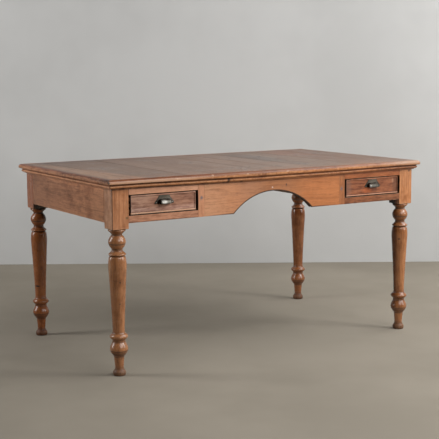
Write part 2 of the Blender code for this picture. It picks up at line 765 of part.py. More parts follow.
def back_tails(clearance=0.0, root=DRAWER_END_Y - DRAWER_WALL - GAP):
    """The dovetails that go right through the drawer back."""
    return tail_outlines(root, DRAWER_END_Y, BOTTOM_HIGH + GAP, DRAWER_SIDE_HIGH, clearance)


def side_outline():
    """A drawer side's outline in y and z, with its dovetails at both ends."""
    front = [point for tail in front_tails() for point in tail]
    back = [point for tail in back_tails() for point in tail]
    root = DRAWER_FRONT_BACK_Y + GAP
    back_root = DRAWER_END_Y - DRAWER_WALL - GAP
    outline = [(root, DRAWER_LOW)] + front + [(root, DRAWER_SIDE_HIGH), (back_root, DRAWER_SIDE_HIGH)]
    outline += list(reversed(back))
    return outline + [(back_root, BOTTOM_HIGH), (DRAWER_END_Y, BOTTOM_HIGH), (DRAWER_END_Y, DRAWER_LOW)]


def tails_mesh(outlines, start, end):
    """Prisms of the dovetails between two x coordinates, to cut their sockets."""
    bm = bmesh.new()
    for outline in outlines:
        near = [bm.verts.new((start, y, z)) for y, z in outline]
        far = [bm.verts.new((end, y, z)) for y, z in outline]
        bm.faces.new(near)
        bm.faces.new(list(reversed(far)))
        for index in range(len(outline)):
            following = (index + 1) % len(outline)
            bm.faces.new((near[index], far[index], far[following], near[following]))
    return bm


def bottom_box(middle):
    """The drawer's bottom, which slides forward in its grooves from the back."""
    reach = DRAWER_HALF_WIDTH - DRAWER_WALL + GROOVE_DEPTH - GAP
    front = DRAWER_FRONT_BACK_Y - GROOVE_DEPTH + GAP
    return block((middle - reach, middle + reach), (front, DRAWER_END_Y), (BOTTOM_LOW, BOTTOM_HIGH))


def beaded_front_mesh(box):
    """The drawer front: a board with a small round bead and a fine quirk worked round its face."""
    bm = boxes_mesh([Box(Vector((box.low.x, DRAWER_FIELD_Y, box.low.z)), box.high)])
    bmesh.ops.recalc_face_normals(bm, faces=bm.faces)
    face = min(bm.faces, key=lambda item: item.calc_center_median().y)
    inset, depth = 0.0, 0.0
    for step in range(1, BEAD_STEPS + 1):
        angle = math.pi * step / BEAD_STEPS
        next_inset = BEAD_WIDTH * (1 - math.cos(angle)) / 2
        next_depth = BEAD_HEIGHT * math.sin(angle) - (QUIRK_DEPTH if step == BEAD_STEPS else 0)
        bmesh.ops.inset_individual(
            bm, faces=[face], thickness=next_inset - inset, depth=next_depth - depth, use_even_offset=True
        )
        inset, depth = next_inset, next_depth
    bmesh.ops.inset_individual(
        bm, faces=[face], thickness=QUIRK_WIDTH, depth=QUIRK_DEPTH, use_even_offset=True
    )
    return bm


def build_drawer(side_name, side, wood, inner_wood, metal):
    """One drawer: beaded front, dovetailed sides and back, grooved bottom, and its pull."""
    middle = side * OPENING_MIDDLE_X
    slide = bpy.data.objects.new(f"drawer_{side_name}_slide", None)
    slide.location = (middle, DRAWER_FACE_Y, (DRAWER_LOW + DRAWER_HIGH) / 2)
    bpy.context.scene.collection.objects.link(slide)
    half = DRAWER_HALF_WIDTH

    front_box = block(
        (middle - half, middle + half), (DRAWER_FACE_Y, DRAWER_FRONT_BACK_Y), (DRAWER_LOW, DRAWER_HIGH)
    )
    front = add_object(
        f"drawer_front_{side_name}", beaded_front_mesh(front_box), wood, front_box.middle(), slide
    )
    back_box = block(
        (middle - half, middle + half),
        (DRAWER_END_Y - DRAWER_WALL, DRAWER_END_Y),
        (BOTTOM_HIGH + GAP, DRAWER_SIDE_HIGH),
    )
    back = add_object(
        f"drawer_back_{side_name}", boxes_mesh([back_box]), inner_wood, back_box.middle(), slide
    )
    bottom = bottom_box(middle)
    add_boolean(front, boxes_mesh([bottom.grown(GAP)]), "DIFFERENCE", "groove")

    for place, sign in (("outer", side), ("inner", -side)):
        outer_face = middle + sign * half
        inner_face = outer_face - sign * DRAWER_WALL
        name = f"drawer_side_{side_name}_{place}"
        bm = prism_mesh(side_outline(), "yz", outer_face, inner_face)
        wall_middle = Vector(((outer_face + inner_face) / 2, (DRAWER_FACE_Y + DRAWER_END_Y) / 2, DRAWER_LOW))
        wall = add_object(name, bm, inner_wood, wall_middle, slide)
        add_boolean(wall, boxes_mesh([bottom.grown(GAP)]), "DIFFERENCE", "groove")
        start = outer_face + sign * OVERRUN
        stop = inner_face - sign * GAP
        sockets = tails_mesh(front_tails(GAP, DRAWER_FRONT_BACK_Y + OVERRUN), start, stop)
        add_boolean(front, sockets, "DIFFERENCE", f"sockets_{place}")
        sockets = tails_mesh(back_tails(GAP, DRAWER_END_Y - DRAWER_WALL - OVERRUN), start, stop)
        add_boolean(back, sockets, "DIFFERENCE", f"sockets_{place}")
    board(f"drawer_bottom_{side_name}", bottom, inner_wood, arris=ARRIS, parent=slide)
    build_pull(f"cup_pull_{side_name}", middle, metal, slide)


# Cup pulls


def hood_mesh(centre, half_width, projection, height, whole):
    """A hood: a squarish round section swept about a level axis along X.

    It starts straight up from the axis and turns forward: a quarter turn, which leaves a flat back and
    a flat under face, or where whole is true a half turn, which leaves only the flat back.
    """
    bm = bmesh.new()
    section = []
    for step in range(1, HOOD_ALONG_STEPS):
        along = -math.cos(math.pi * step / HOOD_ALONG_STEPS)
        rise = (1 - abs(along) ** HOOD_SQUARENESS_power) ** (1 / HOOD_SQUARENESS_power)
        section.append((along * half_width, rise))
    tips = [bm.verts.new(centre + Vector((x, 0, 0))) for x in (-half_width, half_width)]
    rows = []
    for step in range(HOOD_QUARTER_STEPS * (2 if whole else 1) + 1):
        angle = math.pi / 2 * step / HOOD_QUARTER_STEPS
        forward, up = projection * math.sin(angle), height * math.cos(angle)
        row = [bm.verts.new(centre + Vector((x, -forward * rise, up * rise))) for x, rise in section]
        rows.append([tips[0]] + row + [tips[1]])
    for near, far in zip(rows, rows[1:]):
        for index in range(len(near) - 1):
            corners = (near[index], near[index + 1], far[index + 1], far[index])
            bm.faces.new(list(dict.fromkeys(corners)))
    if whole:
        bm.faces.new(rows[0] + list(reversed(rows[-1][1:-1])))
    else:
        bm.faces.new(rows[0])
        bm.faces.new(rows[-1])
    return bm


def plate_outline(middle, low):
    """The pull's back plate in x and z: wide wings at the foot that sweep in to a narrow top."""
    half, top_half = PULL_WIDTH / 2, PULL_TOP_WIDTH / 2
    right = [(half, 0.0)]
    for step in range(PULL_FLARE_STEPS + 1):
        share = step / PULL_FLARE_STEPS
        width = top_half + (half - top_half) * (1 - share) ** PULL_FLARE_power
        right.append((width, PULL_WING_HEIGHT + (PULL_HEIGHT - PULL_WING_HEIGHT) * share))
    points = right + [(-x, z) for x, z in reversed(right)]
    return [(middle + x, low + z) for x, z in points]


def build_pull(name, middle, metal, slide):
    """A cast cup pull: a flared back plate with a hood that is open below for the fingers."""
    field_low = DRAWER_LOW + BEAD_WIDTH + QUIRK_WIDTH
    field_high = DRAWER_HIGH - BEAD_WIDTH - QUIRK_WIDTH
    low = field_low + (field_high - field_low - PULL_HEIGHT) * PULL_RISE_share
    back = DRAWER_FIELD_Y - GAP
    face = back - PULL_PLATE
    plate = prism_mesh(plate_outline(middle, low), "xz", face, back)
    obj = add_object(name, plate, metal, Vector((middle, back, low)), slide)
    root = Vector((middle, face + PULL_PLATE * HOOD_ROOT_share, low))
    outer = hood_mesh(root, HOOD_WIDTH / 2, HOOD_PROJECTION, HOOD_HEIGHT, whole=False)
    add_boolean(obj, outer, "UNION", "hood")
    hollow = hood_mesh(
        Vector((middle, face + PULL_PLATE * HOLLOW_ROOT_share, low)),
        HOOD_WIDTH / 2 - PULL_METAL,
        HOOD_PROJECTION - PULL_PLATE * HOOD_ROOT_share - PULL_METAL,
        HOOD_HEIGHT - PULL_METAL,
        whole=True,
    )
    add_boolean(obj, hollow, "DIFFERENCE", "hollow")


def build_table():
    """Builds every piece, from the frame to the pulls."""
    frame_wood = material("frame_wood", (0.45, 0.20, 0.09), 0.45)
    leg_wood = material("leg_wood", (0.33, 0.14, 0.07), 0.38)
    top_wood = material("top_wood", (0.26, 0.19, 0.15), 0.42)
    moulding_wood = material("moulding_wood", (0.38, 0.17, 0.08), 0.40)
    drawer_wood = material("drawer_wood", (0.30, 0.13, 0.08), 0.45)
    inner_wood = material("inner_wood", (0.30, 0.20, 0.12), 0.75)
    pewter = material("pewter", (0.28, 0.27, 0.25), 0.35, 1.0)

    end_tenons = build_end_aprons(frame_wood)
    back_tenons = build_back_apron(frame_wood)
    build_legs(leg_wood, end_tenons, back_tenons)
    build_rails(frame_wood)
    build_stiles(frame_wood)
    build_arch_panel(frame_wood)
    build_top(top_wood, moulding_wood)
    lower_x, lower_y = HALF_LENGTH + GAP, HALF_DEPTH + GAP
    build_mouldings("lower_moulding", lower_profile(), lower_x, lower_y, moulding_wood)
    build_bearer_and_kickers(inner_wood)
    build_runners(inner_wood)
    build_glue_blocks(inner_wood)
    for side_name, side in SIDES.items():
        build_drawer(side_name, side, drawer_wood, inner_wood, pewter)


clear_scene()
build_table()
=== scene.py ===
"""The looks of an old plank-topped writing table: its wood, its turning, its mouldings and its pulls.

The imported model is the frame. Pieces whose form the eye dwells on (legs, mouldings, boards, arched panel,
drawer fronts, pulls) are built finer in the same place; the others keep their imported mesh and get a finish.
Metres, +Z up, and the front of the table looks along -Y.
"""

import logging
import math
from collections.abc import Callable, Iterable, Sequence
from dataclasses import dataclass, field, replace
from enum import Enum

import bmesh
import bpy
from mathutils import Matrix, Vector, noise


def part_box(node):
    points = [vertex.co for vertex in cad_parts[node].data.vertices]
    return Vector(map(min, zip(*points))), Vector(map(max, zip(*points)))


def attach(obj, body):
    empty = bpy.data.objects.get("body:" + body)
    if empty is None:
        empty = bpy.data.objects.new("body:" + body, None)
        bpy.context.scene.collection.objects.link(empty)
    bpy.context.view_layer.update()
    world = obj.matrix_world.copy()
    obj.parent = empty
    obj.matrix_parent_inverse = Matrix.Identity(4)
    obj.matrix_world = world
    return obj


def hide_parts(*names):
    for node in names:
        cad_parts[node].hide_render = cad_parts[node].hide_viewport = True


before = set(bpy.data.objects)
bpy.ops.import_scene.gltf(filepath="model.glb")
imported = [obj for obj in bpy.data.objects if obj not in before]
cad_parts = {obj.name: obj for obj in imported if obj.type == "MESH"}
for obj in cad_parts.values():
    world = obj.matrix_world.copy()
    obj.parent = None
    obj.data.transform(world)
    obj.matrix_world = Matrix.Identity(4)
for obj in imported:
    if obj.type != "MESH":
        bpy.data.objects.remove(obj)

LOG = logging.getLogger("table")
FIT = 0.0003  # between two pieces that touch
QUARTER = math.pi / 2
SIDES = {"left": -1, "right": 1}
RIGHT, LEFT, BACK, FRONT, UP, DOWN = (1, 0, 0), (-1, 0, 0), (0, 1, 0), (0, -1, 0), (0, 0, 1), (0, 0, -1)
BLACK, SOOT = (0.012, 0.008, 0.006), (0.05, 0.03, 0.02)
OIL_WASH = (0.60, 0.50, 0.44)  # what a blotch of old oil multiplies the wood by
Colour = tuple[float, float, float]
Point = tuple[float, float, float]
Spot = tuple[float, float]
Section = list[Spot]


class GrainRun(Enum):
    """How the grain lies in a piece: the axes along it, across its face and through it."""

    X_FACE_Y = "XZY"
    X_FACE_Z = "XYZ"
    Y_FACE_Z = "YXZ"
    Y_FACE_X = "YZX"
    UPRIGHT_FACE_Y = "ZXY"


class SocketKind(Enum):
    """The kinds of socket that a shader group has."""

    VALUE = "NodeSocketFloat"
    COLOUR = "NodeSocketColor"
    VECTOR = "NodeSocketVector"


class Blend(Enum):
    """How a colour is laid on another: over it, or as a tint that multiplies it."""

    OVER = "MIX"
    TINT = "MULTIPLY"


class Form(Enum):
    """The cuts that a turner makes on a leg."""

    BEAD = "bead"
    STRAIGHT = "straight"
    HOLLOW = "hollow"
    SWELL = "swell"
    SHOULDER = "shoulder"

    def swept(self, share: float) -> Spot:
        """How far a cut other than a bead has come.

        Args:
            share: the share of its points that lie behind.

        Returns:
            How far it is across and along its run.
        """
        sine, cosine = math.sin(share * QUARTER), math.cos(share * QUARTER)
        if self is Form.HOLLOW:
            return sine, 1 - cosine
        if self is Form.SHOULDER:
            return 1 - cosine, sine
        return share ** (1.25 if self is Form.SWELL else 1), share


# Shader graphs


class Signal:
    """What a node puts out. The signs +, - and * add a Math node after it, or Vector Math after a vector."""

    def __init__(self, graph: "Graph", socket: bpy.types.NodeSocket) -> None:
        """Holds one output of the graph."""
        self.graph, self.socket = graph, socket

    def _with(self, operation: str, other: object) -> "Signal":
        """This and another value, combined by one node."""
        combine = self.graph.math if self.socket.type == "VALUE" else self.graph.vector
        return combine(operation, self, other)

    def __add__(self, other: object) -> "Signal":
        """The sum."""
        return self._with("ADD", other)

    def __sub__(self, other: object) -> "Signal":
        """The difference."""
        return self._with("SUBTRACT", other)

    def __mul__(self, other: object) -> "Signal":
        """The product."""
        return self._with("MULTIPLY", other)


class Graph:
    """Adds nodes to one tree. A value may be a number, a colour, a vector or a signal."""

    def __init__(self, tree: bpy.types.NodeTree) -> None:
        """Works on the given tree."""
        self.tree = tree

    def set(self, node: bpy.types.Node, values: dict) -> None:
        """Gives a node's inputs their values, by name or index."""
        for key, value in values.items():
            socket = node.inputs[key]
            if isinstance(value, Signal):
                self.tree.links.new(value.socket, socket)
            else:
                socket.default_value = (*value, 1) if socket.type == "RGBA" else value

    def add(self, kind: str, values: dict | None = None, **options: object) -> bpy.types.Node:
        """Adds one node.

        Args:
            kind: the node's type.
            values: what its inputs get.
            options: the node's own settings, which are made first.

        Returns:
            The node.
        """
        node = self.tree.nodes.new(kind)
        for name, value in options.items():
            setattr(node, name, value)
        self.set(node, values or {})
        return node

    def read(self, kind: str, values: dict | None = None, output: int | str = 0, **options: object) -> Signal:
        """Adds one node and gives one of its outputs."""
        return Signal(self, self.add(kind, values, **options).outputs[output])

    def group(self, tree: bpy.types.NodeTree, **values: object) -> dict[str, Signal]:
        """Places a shader group and gives its outputs by name; line_spacing sets its input Line Spacing."""
        inputs = {name.replace("_", " ").title(): value for name, value in values.items()}
        node = self.add("ShaderNodeGroup", inputs, node_tree=tree)
        return {socket.name: Signal(self, socket) for socket in node.outputs}

    def math(self, operation: str, *values: object, clamp: bool = False) -> Signal:
        """A Math node's output."""
        return self.read("ShaderNodeMath", dict(enumerate(values)), operation=operation, use_clamp=clamp)

    def vector(self, operation: str, *values: object) -> Signal:
        """A Vector Math node's output: a number for LENGTH and DOT_PRODUCT, and a vector otherwise."""
        inputs = zip((0, 3) if operation == "SCALE" else (0, 1), values)
        output = 1 if operation in ("LENGTH", "DOT_PRODUCT") else 0
        return self.read("ShaderNodeVectorMath", dict(inputs), output, operation=operation)

    def mix(self, share: object, first: object, second: object, blend: Blend = Blend.OVER) -> Signal:
        """A colour with a share of a second one laid on it."""
        inputs = {0: share, 6: first, 7: second}
        return self.read("ShaderNodeMix", inputs, 2, data_type="RGBA", blend_type=blend.value)

    def between(self, value: object, low: object, high: object, start: float = 0.0, stop: float = 1.0) -> Signal:
        """A smooth step from start at low to stop at high."""
        inputs = {0: value, 1: low, 2: high, 3: start, 4: stop}
        return self.read("ShaderNodeMapRange", inputs, interpolation_type="SMOOTHSTEP")

    def noise(
        self, place: Signal, features: float | Point, detail: float = 2.0, rough: float = 0.5, colour: bool = False
    ) -> Signal:
        """Noise over a place.

        Args:
            place: where.
            features: how many features a metre, one number or one for each axis.
            detail: how many finer layers it has.
            rough: how strong they are.
            colour: three separate noises as a colour, and not one number.

        Returns:
            The noise, from 0 to 1.
        """
        scaled = place * (features if isinstance(features, tuple) else (features,) * 3)
        inputs = {"Vector": scaled, "Scale": 1.0, "Detail": detail, "Roughness": rough}
        return self.read("ShaderNodeTexNoise", inputs, 1 if colour else 0)

    def split(self, value: object) -> list[Signal]:
        """The three parts of a vector."""
        return [Signal(self, part) for part in self.add("ShaderNodeSeparateXYZ", {0: value}).outputs]

    def join(self, *parts: object) -> Signal:
        """A vector from three parts."""
        return self.read("ShaderNodeCombineXYZ", dict(enumerate(parts)))


Signals = dict[str, Signal]


def shader_group(
    name: str,
    inputs: Sequence[tuple[str, SocketKind, object]],
    outputs: Sequence[tuple[str, SocketKind]],
    wire: Callable[[Graph, Signals], Signals],
) -> bpy.types.NodeTree:
    """Builds a shader node group once.

    Args:
        name: the group's name.
        inputs: name, kind and first value of each input.
        outputs: name and kind of each output.
        wire: adds the nodes; it gets the graph and the inputs by name, and gives the outputs by name.

    Returns:
        The group's tree.
    """
    tree = bpy.data.node_groups.new(name, "ShaderNodeTree")
    for label, kind, value in inputs:
        made = tree.interface.new_socket(label, in_out="INPUT", socket_type=kind.value)
        made.default_value = (*value, 1) if kind is SocketKind.COLOUR else value
    for label, kind in outputs:
        tree.interface.new_socket(label, in_out="OUTPUT", socket_type=kind.value)
    graph = Graph(tree)
    entry, leave = graph.add("NodeGroupInput"), graph.add("NodeGroupOutput")
    graph.set(leave, wire(graph, {s.name: Signal(graph, s) for s in entry.outputs if s.name}))
    return tree


class Effects:
    """The shader groups that the finishes share."""

    def __init__(self) -> None:
        """Builds every group once."""
        value, colour, vector = SocketKind.VALUE, SocketKind.COLOUR, SocketKind.VECTOR
        place, mask = ("Place", vector, (0, 0, 0)), [("Mask", value)]
        figure = [
            place, ("Seed", value, 0.0), ("Heart Depth", value, 0.2), ("Wander", value, 0.045),
            ("Line Spacing", value, 0.005), ("Lines", value, 0.4), ("Streaks", value, 0.5), ("Mottle", value, 0.5),
            ("Pores", value, 0.5), ("Light", colour, (0.5, 0.2, 0.1)), ("Dark", colour, (0.3, 0.1, 0.05)),
            ("Pore", colour, (0.05, 0.02, 0.01)),
        ]
        self.figure = shader_group("WoodFigure", figure, [("Color", colour), ("Height", value)], self._figure)
        block = [("Low", vector, (0, 0, 0)), ("High", vector, (1, 1, 1))]
        arris = [place, *block, ("Width", value, 0.003), ("Ragged", value, 0.7)]
        self.arris = shader_group("ArrisWear", arris, mask, self._arris)
        round_spot = [("Centre", vector, (0, 0, 0)), ("Reach", vector, (0.01, 0.01, 0.01))]
        self.spot = shader_group("Spot", [place, *round_spot, ("Ragged", value, 0.3)], mask, self._spot)
        band = [("Direction", vector, (1, 0, 0)), ("Start", value, 0.0), ("Stop", value, 1.0)]
        self.drift = shader_group("ToneDrift", [place, *band, ("Ragged", value, 0.02)], mask, self._drift)
        masks = [(name, value) for name in ("Blotches", "Corners", "Scuffs")]
        self.age = shader_group("Age", [place, ("Seed", value, 0.0), ("Reach", value, 0.012)], masks, self._age)

    @staticmethod
    def _figure(graph: Graph, given: Signals) -> Signals:
        """Growth lines round a heart, streaks and pores, with the grain along X."""
        seed = given["Seed"]
        seeded = given["Place"] + graph.join(seed * 0.731, seed * 1.37, seed * 2.11)
        slow = graph.noise(seeded, (1.3, 6.0, 6.0), colour=True)
        bent = given["Place"] + graph.vector("SCALE", slow - (0.5, 0.5, 0.5), given["Wander"])
        _, across, through = graph.split(bent)
        radius = graph.vector("LENGTH", graph.join(0.0, across, through + given["Heart Depth"]))
        outward = graph.join(0.0, radius, seed)
        uneven = graph.noise(outward, (0.0, 45.0, 1.0), 3.0) * 4.0
        turn = graph.math("FRACT", graph.math("DIVIDE", radius, given["Line Spacing"]) + uneven)
        line = graph.between(turn, 0.25, 0.95) * graph.between(turn, 0.95, 1.0, 1.0, 0.0)
        line *= graph.between(graph.noise(outward, (0.0, 19.0, 1.0)), 0.35, 0.65, 0.25, 1.0)
        streak = graph.noise(seeded, (6.0, 240.0, 240.0), 4.0, 0.62)
        broad = graph.between(graph.noise(seeded, (1.5, 16.0, 16.0), 3.0), 0.3, 0.7)
        mottle = graph.noise(seeded, (26.0, 95.0, 95.0), 4.0, 0.6) - 0.5
        share = line * given["Lines"] + (streak - 0.5) * (given["Streaks"] * 3.0) + mottle * (given["Mottle"] * 4.0)
        share = graph.math("ADD", share, broad * 0.45, clamp=True)
        pore = graph.between(graph.noise(seeded, (45.0, 1500.0, 1500.0), 1.0), 0.56, 0.70)
        pore *= graph.between(line, 0.0, 0.6, 0.45, 1.0)
        colour = graph.mix(share, given["Light"], given["Dark"])
        return {
            "Color": graph.mix(pore * given["Pores"], colour, given["Pore"]),
            "Height": streak * 0.5 - (pore + line * 0.3),
        }

    @staticmethod
    def _arris(graph: Graph, given: Signals) -> Signals:
        """Nearness to the edges of a block, broken up along them."""
        place, width = given["Place"], given["Width"]
        x, y, z = graph.split(graph.vector("MINIMUM", place - given["Low"], given["High"] - place))
        farther = graph.math("MINIMUM", graph.math("MAXIMUM", x, y), z)
        second_nearest = graph.math("MAXIMUM", graph.math("MINIMUM", x, y), farther)
        rag = graph.between(graph.noise(place, 70.0, 4.0, 0.65), 0.35, 0.65)
        reach = width - rag * given["Ragged"] * width
        return {"Mask": graph.between(second_nearest, reach * 0.25, reach + 1e-5, 1.0, 0.0)}

    @staticmethod
    def _spot(graph: Graph, given: Signals) -> Signals:
        """A soft ragged spot round a centre."""
        away = graph.vector("DIVIDE", given["Place"] - given["Centre"], given["Reach"])
        rag = (graph.noise(given["Place"], 160.0, 3.0) - 0.5) * given["Ragged"] * 4.0
        return {"Mask": graph.between(graph.vector("LENGTH", away) + rag, 0.35, 1.0, 1.0, 0.0)}

    @staticmethod
    def _drift(graph: Graph, given: Signals) -> Signals:
        """A tone that changes from start to stop along a direction, with a wandering edge."""
        along = graph.vector("DOT_PRODUCT", given["Place"], given["Direction"])
        rag = (graph.noise(given["Place"], 9.0, 3.0) - 0.5) * given["Ragged"]
        return {"Mask": graph.between(along + rag, given["Start"], given["Stop"])}

    @staticmethod
    def _age(graph: Graph, given: Signals) -> Signals:
        """Blotches of old oil, a corner mask from ambient occlusion (dirt and painted shade on wood, patina on metal),
        and fine scuffs.
        """
        place = given["Place"] + graph.join(*[given["Seed"]] * 3)
        wide, small = graph.noise(place, (7.0, 7.0, 11.0), 4.0, 0.6), graph.noise(place, (38.0, 38.0, 60.0), 3.0, 0.6)
        open_sky = graph.read("ShaderNodeAmbientOcclusion", {"Distance": given["Reach"]}, "AO", samples=6)
        thin = graph.math("ABSOLUTE", graph.noise(place, (16.0, 90.0, 34.0)) - 0.5)
        scuffed = graph.between(graph.noise(place, 11.0, 1.0), 0.52, 0.62)
        return {
            "Blotches": graph.between(wide * 0.7 + small * 0.3, 0.46, 0.66),
            "Corners": graph.between(open_sky, 0.25, 0.85, 1.0, 0.0),
            "Scuffs": graph.between(thin, 0.0, 0.006, 1.0, 0.0) * scuffed,
        }


# Finishes


@dataclass(frozen=True)
class Mark:
    """A stain, knot, smudge or worn spot, or a patch of painted shade or painted highlight, in table coordinates."""

    centre: Point
    reach: Point
    colour: Colour
    strength: float = 0.8
    ragged: float = 0.3
    blend: Blend = Blend.OVER


def tint(centre: Point, reach: Point, colour: Colour, ragged: float = 0.1) -> Mark:
    """A mark that tints what is under it."""
    return Mark(centre, reach, colour, 1.0, ragged, Blend.TINT)


def black_joint_and_painted_shade(centre: Point, reach: Point, strength: float = 0.97, ragged: float = 0.02) -> Mark:
    """A black mark, used for painted shade in narrow openings and recesses between pieces, and for dark joints and
    nicks.
    """
    return Mark(centre, reach, BLACK, strength, ragged)


@dataclass(frozen=True)
class Drift:
    """A change of tone along a direction: full past stop and none before start."""

    direction: Point
    start: float
    stop: float
    colour: Colour
    strength: float = 1.0
    ragged: float = 0.02
    dull: float = 0.0


class Surface:
    """A material in the making: its graph, its shader, and the place of a point in table coordinates."""

    def __init__(self, name: str) -> None:
        """Starts the material."""
        self.material = bpy.data.materials.new(name)
        self.material.use_nodes = True
        self.graph = Graph(self.material.node_tree)
        self.shader = self.material.node_tree.nodes["Principled BSDF"]
        self.place = self.graph.read("ShaderNodeTexCoord", output="Object")

    def marked(self, colour: Signal, effects: Effects, marks: Sequence[Mark]) -> Signal:
        """Lays marks on a colour, in their order.

        Args:
            colour: the colour below.
            effects: the shared groups.
            marks: what is laid on.

        Returns:
            The marked colour.
        """
        for mark in marks:
            spot = self.graph.group(
                effects.spot, place=self.place, centre=mark.centre, reach=mark.reach, ragged=mark.ragged
            )
            colour = self.graph.mix(spot["Mask"] * mark.strength, colour, mark.colour, mark.blend)
        return colour

    def lay_on(self, piece: bpy.types.Object, height: Signal, relief: float, strength: float, values: dict) -> None:
        """Sets the shader and makes this the piece's only material.

        Args:
            piece: the object to dress.
            height: what stands out, for the bump.
            relief: how far it stands out, in metres.
            strength: how much of the bump shows.
            values: the shader's other inputs.
        """
        bump = self.graph.read("ShaderNodeBump", {"Height": height, "Distance": relief, "Strength": strength})
        self.graph.set(self.shader, values | {"Normal": bump})
        piece.data.materials.clear()
        piece.data.materials.append(self.material)


@dataclass(frozen=True)
class WoodFinish:
    """Old oiled wood: its figure, its wear and its sheen."""

    name: str
    light: Colour
    dark: Colour
    pore: Colour = (0.045, 0.020, 0.010)
    worn: Colour = (0.62, 0.34, 0.19)
    # This colour is laid on by the corner mask and by the mesh's dirt marks: dirt together with painted shade.
    grime: Colour = (0.030, 0.014, 0.008)
    lines: float = 0.30
    line_spacing: float = 0.0055
    streaks: float = 0.55
    mottle: float = 0.45
    pores: float = 0.55
    heart_depth: float = 0.16
    wander: float = 0.045
    wear: float = 0.5
    wear_width: float = 0.0030
    wear_ragged: float = 0.85
    scuffs: float = 0.30
    blotches: float = 0.35
    # corners: how strongly occluded corners darken, as dirt and painted shade
    corners: float = 0.85
    corner_reach: float = 0.010
    roughness: float = 0.42
    blotch_gloss: float = 0.08
    dirt_matt: float = 0.30
    figure_gloss: float = 0.06
    coat: float = 0.04
    coat_roughness: float = 0.22
    coat_lost: float = 3.0  # where dust dulls it
    shine: float = 0.32
    relief: float = 0.00012

    def tinted(self, factor: Colour) -> "WoodFinish":
        """The same finish with its wood colours scaled."""
        light, dark = (tuple(c * s for c, s in zip(tone, factor)) for tone in (self.light, self.dark))
        return replace(self, light=light, dark=dark)

    def toned(self, light: Colour, dark: Colour, **changes: object) -> "WoodFinish":
        """The same finish in other wood colours, with any other changes."""
        return replace(self, light=light, dark=dark, **changes)

    def dress(
        self,
        piece: bpy.types.Object,
        effects: Effects,
        run: GrainRun,
        seed: float,
        marks: Sequence[Mark] = (),
        drifts: Sequence[Drift] = (),
        modelled_wear: bool = False,
    ) -> None:
        """Gives a piece this finish.

        Args:
            piece: the object to dress.
            effects: the shared shader groups.
            run: how the grain lies.
            seed: what sets this board apart from the others.
            marks: its stains and worn spots.
            drifts: its changes of tone.
            modelled_wear: take wear, and dirt with painted shade, from the mesh's own "wear" and "dirt" attributes.
        """
        surface = Surface(f"{self.name}_{piece.name}")
        graph, place = surface.graph, surface.place
        low, high = box_of(piece)
        parts = dict(zip("XYZ", graph.split(place - [(a + b) / 2 for a, b in zip(low, high)])))
        lying = graph.join(*(parts[axis] for axis in run.value))
        traits = "heart_depth wander line_spacing lines streaks mottle pores light dark pore"
        own = {trait: getattr(self, trait) for trait in traits.split()}
        figure = graph.group(effects.figure, place=lying, seed=seed, **own)
        colour, dulled = figure["Color"], None
        for drift in drifts:
            reach = {"direction": drift.direction, "start": drift.start, "stop": drift.stop, "ragged": drift.ragged}
            tone = graph.group(effects.drift, place=place, **reach)["Mask"]
            colour = graph.mix(tone * drift.strength, colour, drift.colour, Blend.TINT)
            if drift.dull:
                dulled = tone * drift.dull
        age = graph.group(effects.age, place=lying, seed=seed * 1.7, reach=self.corner_reach)
        colour = graph.mix(age["Blotches"] * self.blotches, colour, OIL_WASH, Blend.TINT)
        # Occluded corners and the mesh's own dirt marks darken: dirt together with painted shade.
        dirt = age["Corners"] * self.corners
        if modelled_wear:
            rag = graph.between(graph.noise(place, 85.0, 4.0, 0.65), 0.36, 0.62)
            worn = graph.read("ShaderNodeAttribute", output="Fac", attribute_name="wear") * rag
            modelled = graph.read("ShaderNodeAttribute", output="Fac", attribute_name="dirt")
            dirt = graph.math("MAXIMUM", dirt, modelled)
        else:
            block = {"low": low, "high": high, "width": self.wear_width, "ragged": self.wear_ragged}
            worn = graph.group(effects.arris, place=place, **block)["Mask"]
        colour = graph.mix(worn * self.wear, colour, self.worn)
        colour = graph.mix(age["Scuffs"] * self.scuffs, colour, self.worn)
        colour = surface.marked(graph.mix(dirt, colour, self.grime), effects, marks)
        rough = age["Blotches"] * -self.blotch_gloss + self.roughness + dirt * self.dirt_matt
        rough = graph.math("ADD", rough, figure["Height"] * -self.figure_gloss, clamp=True)
        if dulled is not None:
            rough = graph.math("ADD", rough, dulled, clamp=True)
        surface.lay_on(piece, figure["Height"], self.relief, 1.0, {
            "Base Color": colour, "Roughness": rough, "Specular IOR Level": self.shine,
            "Coat Weight": self.coat, "Coat Roughness": self.coat_roughness,
        })
        if dulled is not None:
            clear = graph.math("SUBTRACT", 1.0, graph.math("MULTIPLY", dulled, self.coat_lost, clamp=True))
            graph.set(surface.shader, {"Coat Weight": clear * self.coat})


@dataclass(frozen=True)
class MetalFinish:
    """Old metal with a patina that is darker in its corners."""

    name: str
    bright: Colour
    dull: Colour
    metallic: float = 1.0
    roughness: float = 0.34
    relief: float = 0.00008
    relief_strength: float = 0.6
    corner_reach: float = 0.006
    blotches: float = 0.45
    corners: float = 0.75
    pits: float = 0.4
    dull_matt: float = 0.28

    def dress(self, piece: bpy.types.Object, effects: Effects, seed: float, marks: Sequence[Mark] = ()) -> None:
        """Gives a piece this finish.

        Args:
            piece: the object to dress.
            effects: the shared shader groups.
            seed: what sets this casting apart from the others.
            marks: where it is polished or tarnished.
        """
        surface = Surface(f"{self.name}_{piece.name}")
        graph, place = surface.graph, surface.place
        fine = graph.vector("SCALE", place, 4.0)
        age = graph.group(effects.age, place=fine, seed=seed, reach=self.corner_reach)
        pits = graph.noise(place, 900.0, 3.0, 0.6)
        dull = age["Blotches"] * self.blotches + age["Corners"] * self.corners
        dull = graph.math("ADD", dull, graph.between(pits, 0.5, 0.8, 0.0, self.pits), clamp=True)
        colour = surface.marked(graph.mix(dull, self.bright, self.dull), effects, marks)
        rough = dull * self.dull_matt + self.roughness
        values = {"Base Color": colour, "Roughness": rough, "Metallic": self.metallic}
        surface.lay_on(piece, pits, self.relief, self.relief_strength, values)


# Mesh work


def unit(value: float) -> float:
    """A value kept from 0 to 1."""
    return min(1.0, max(0.0, value))


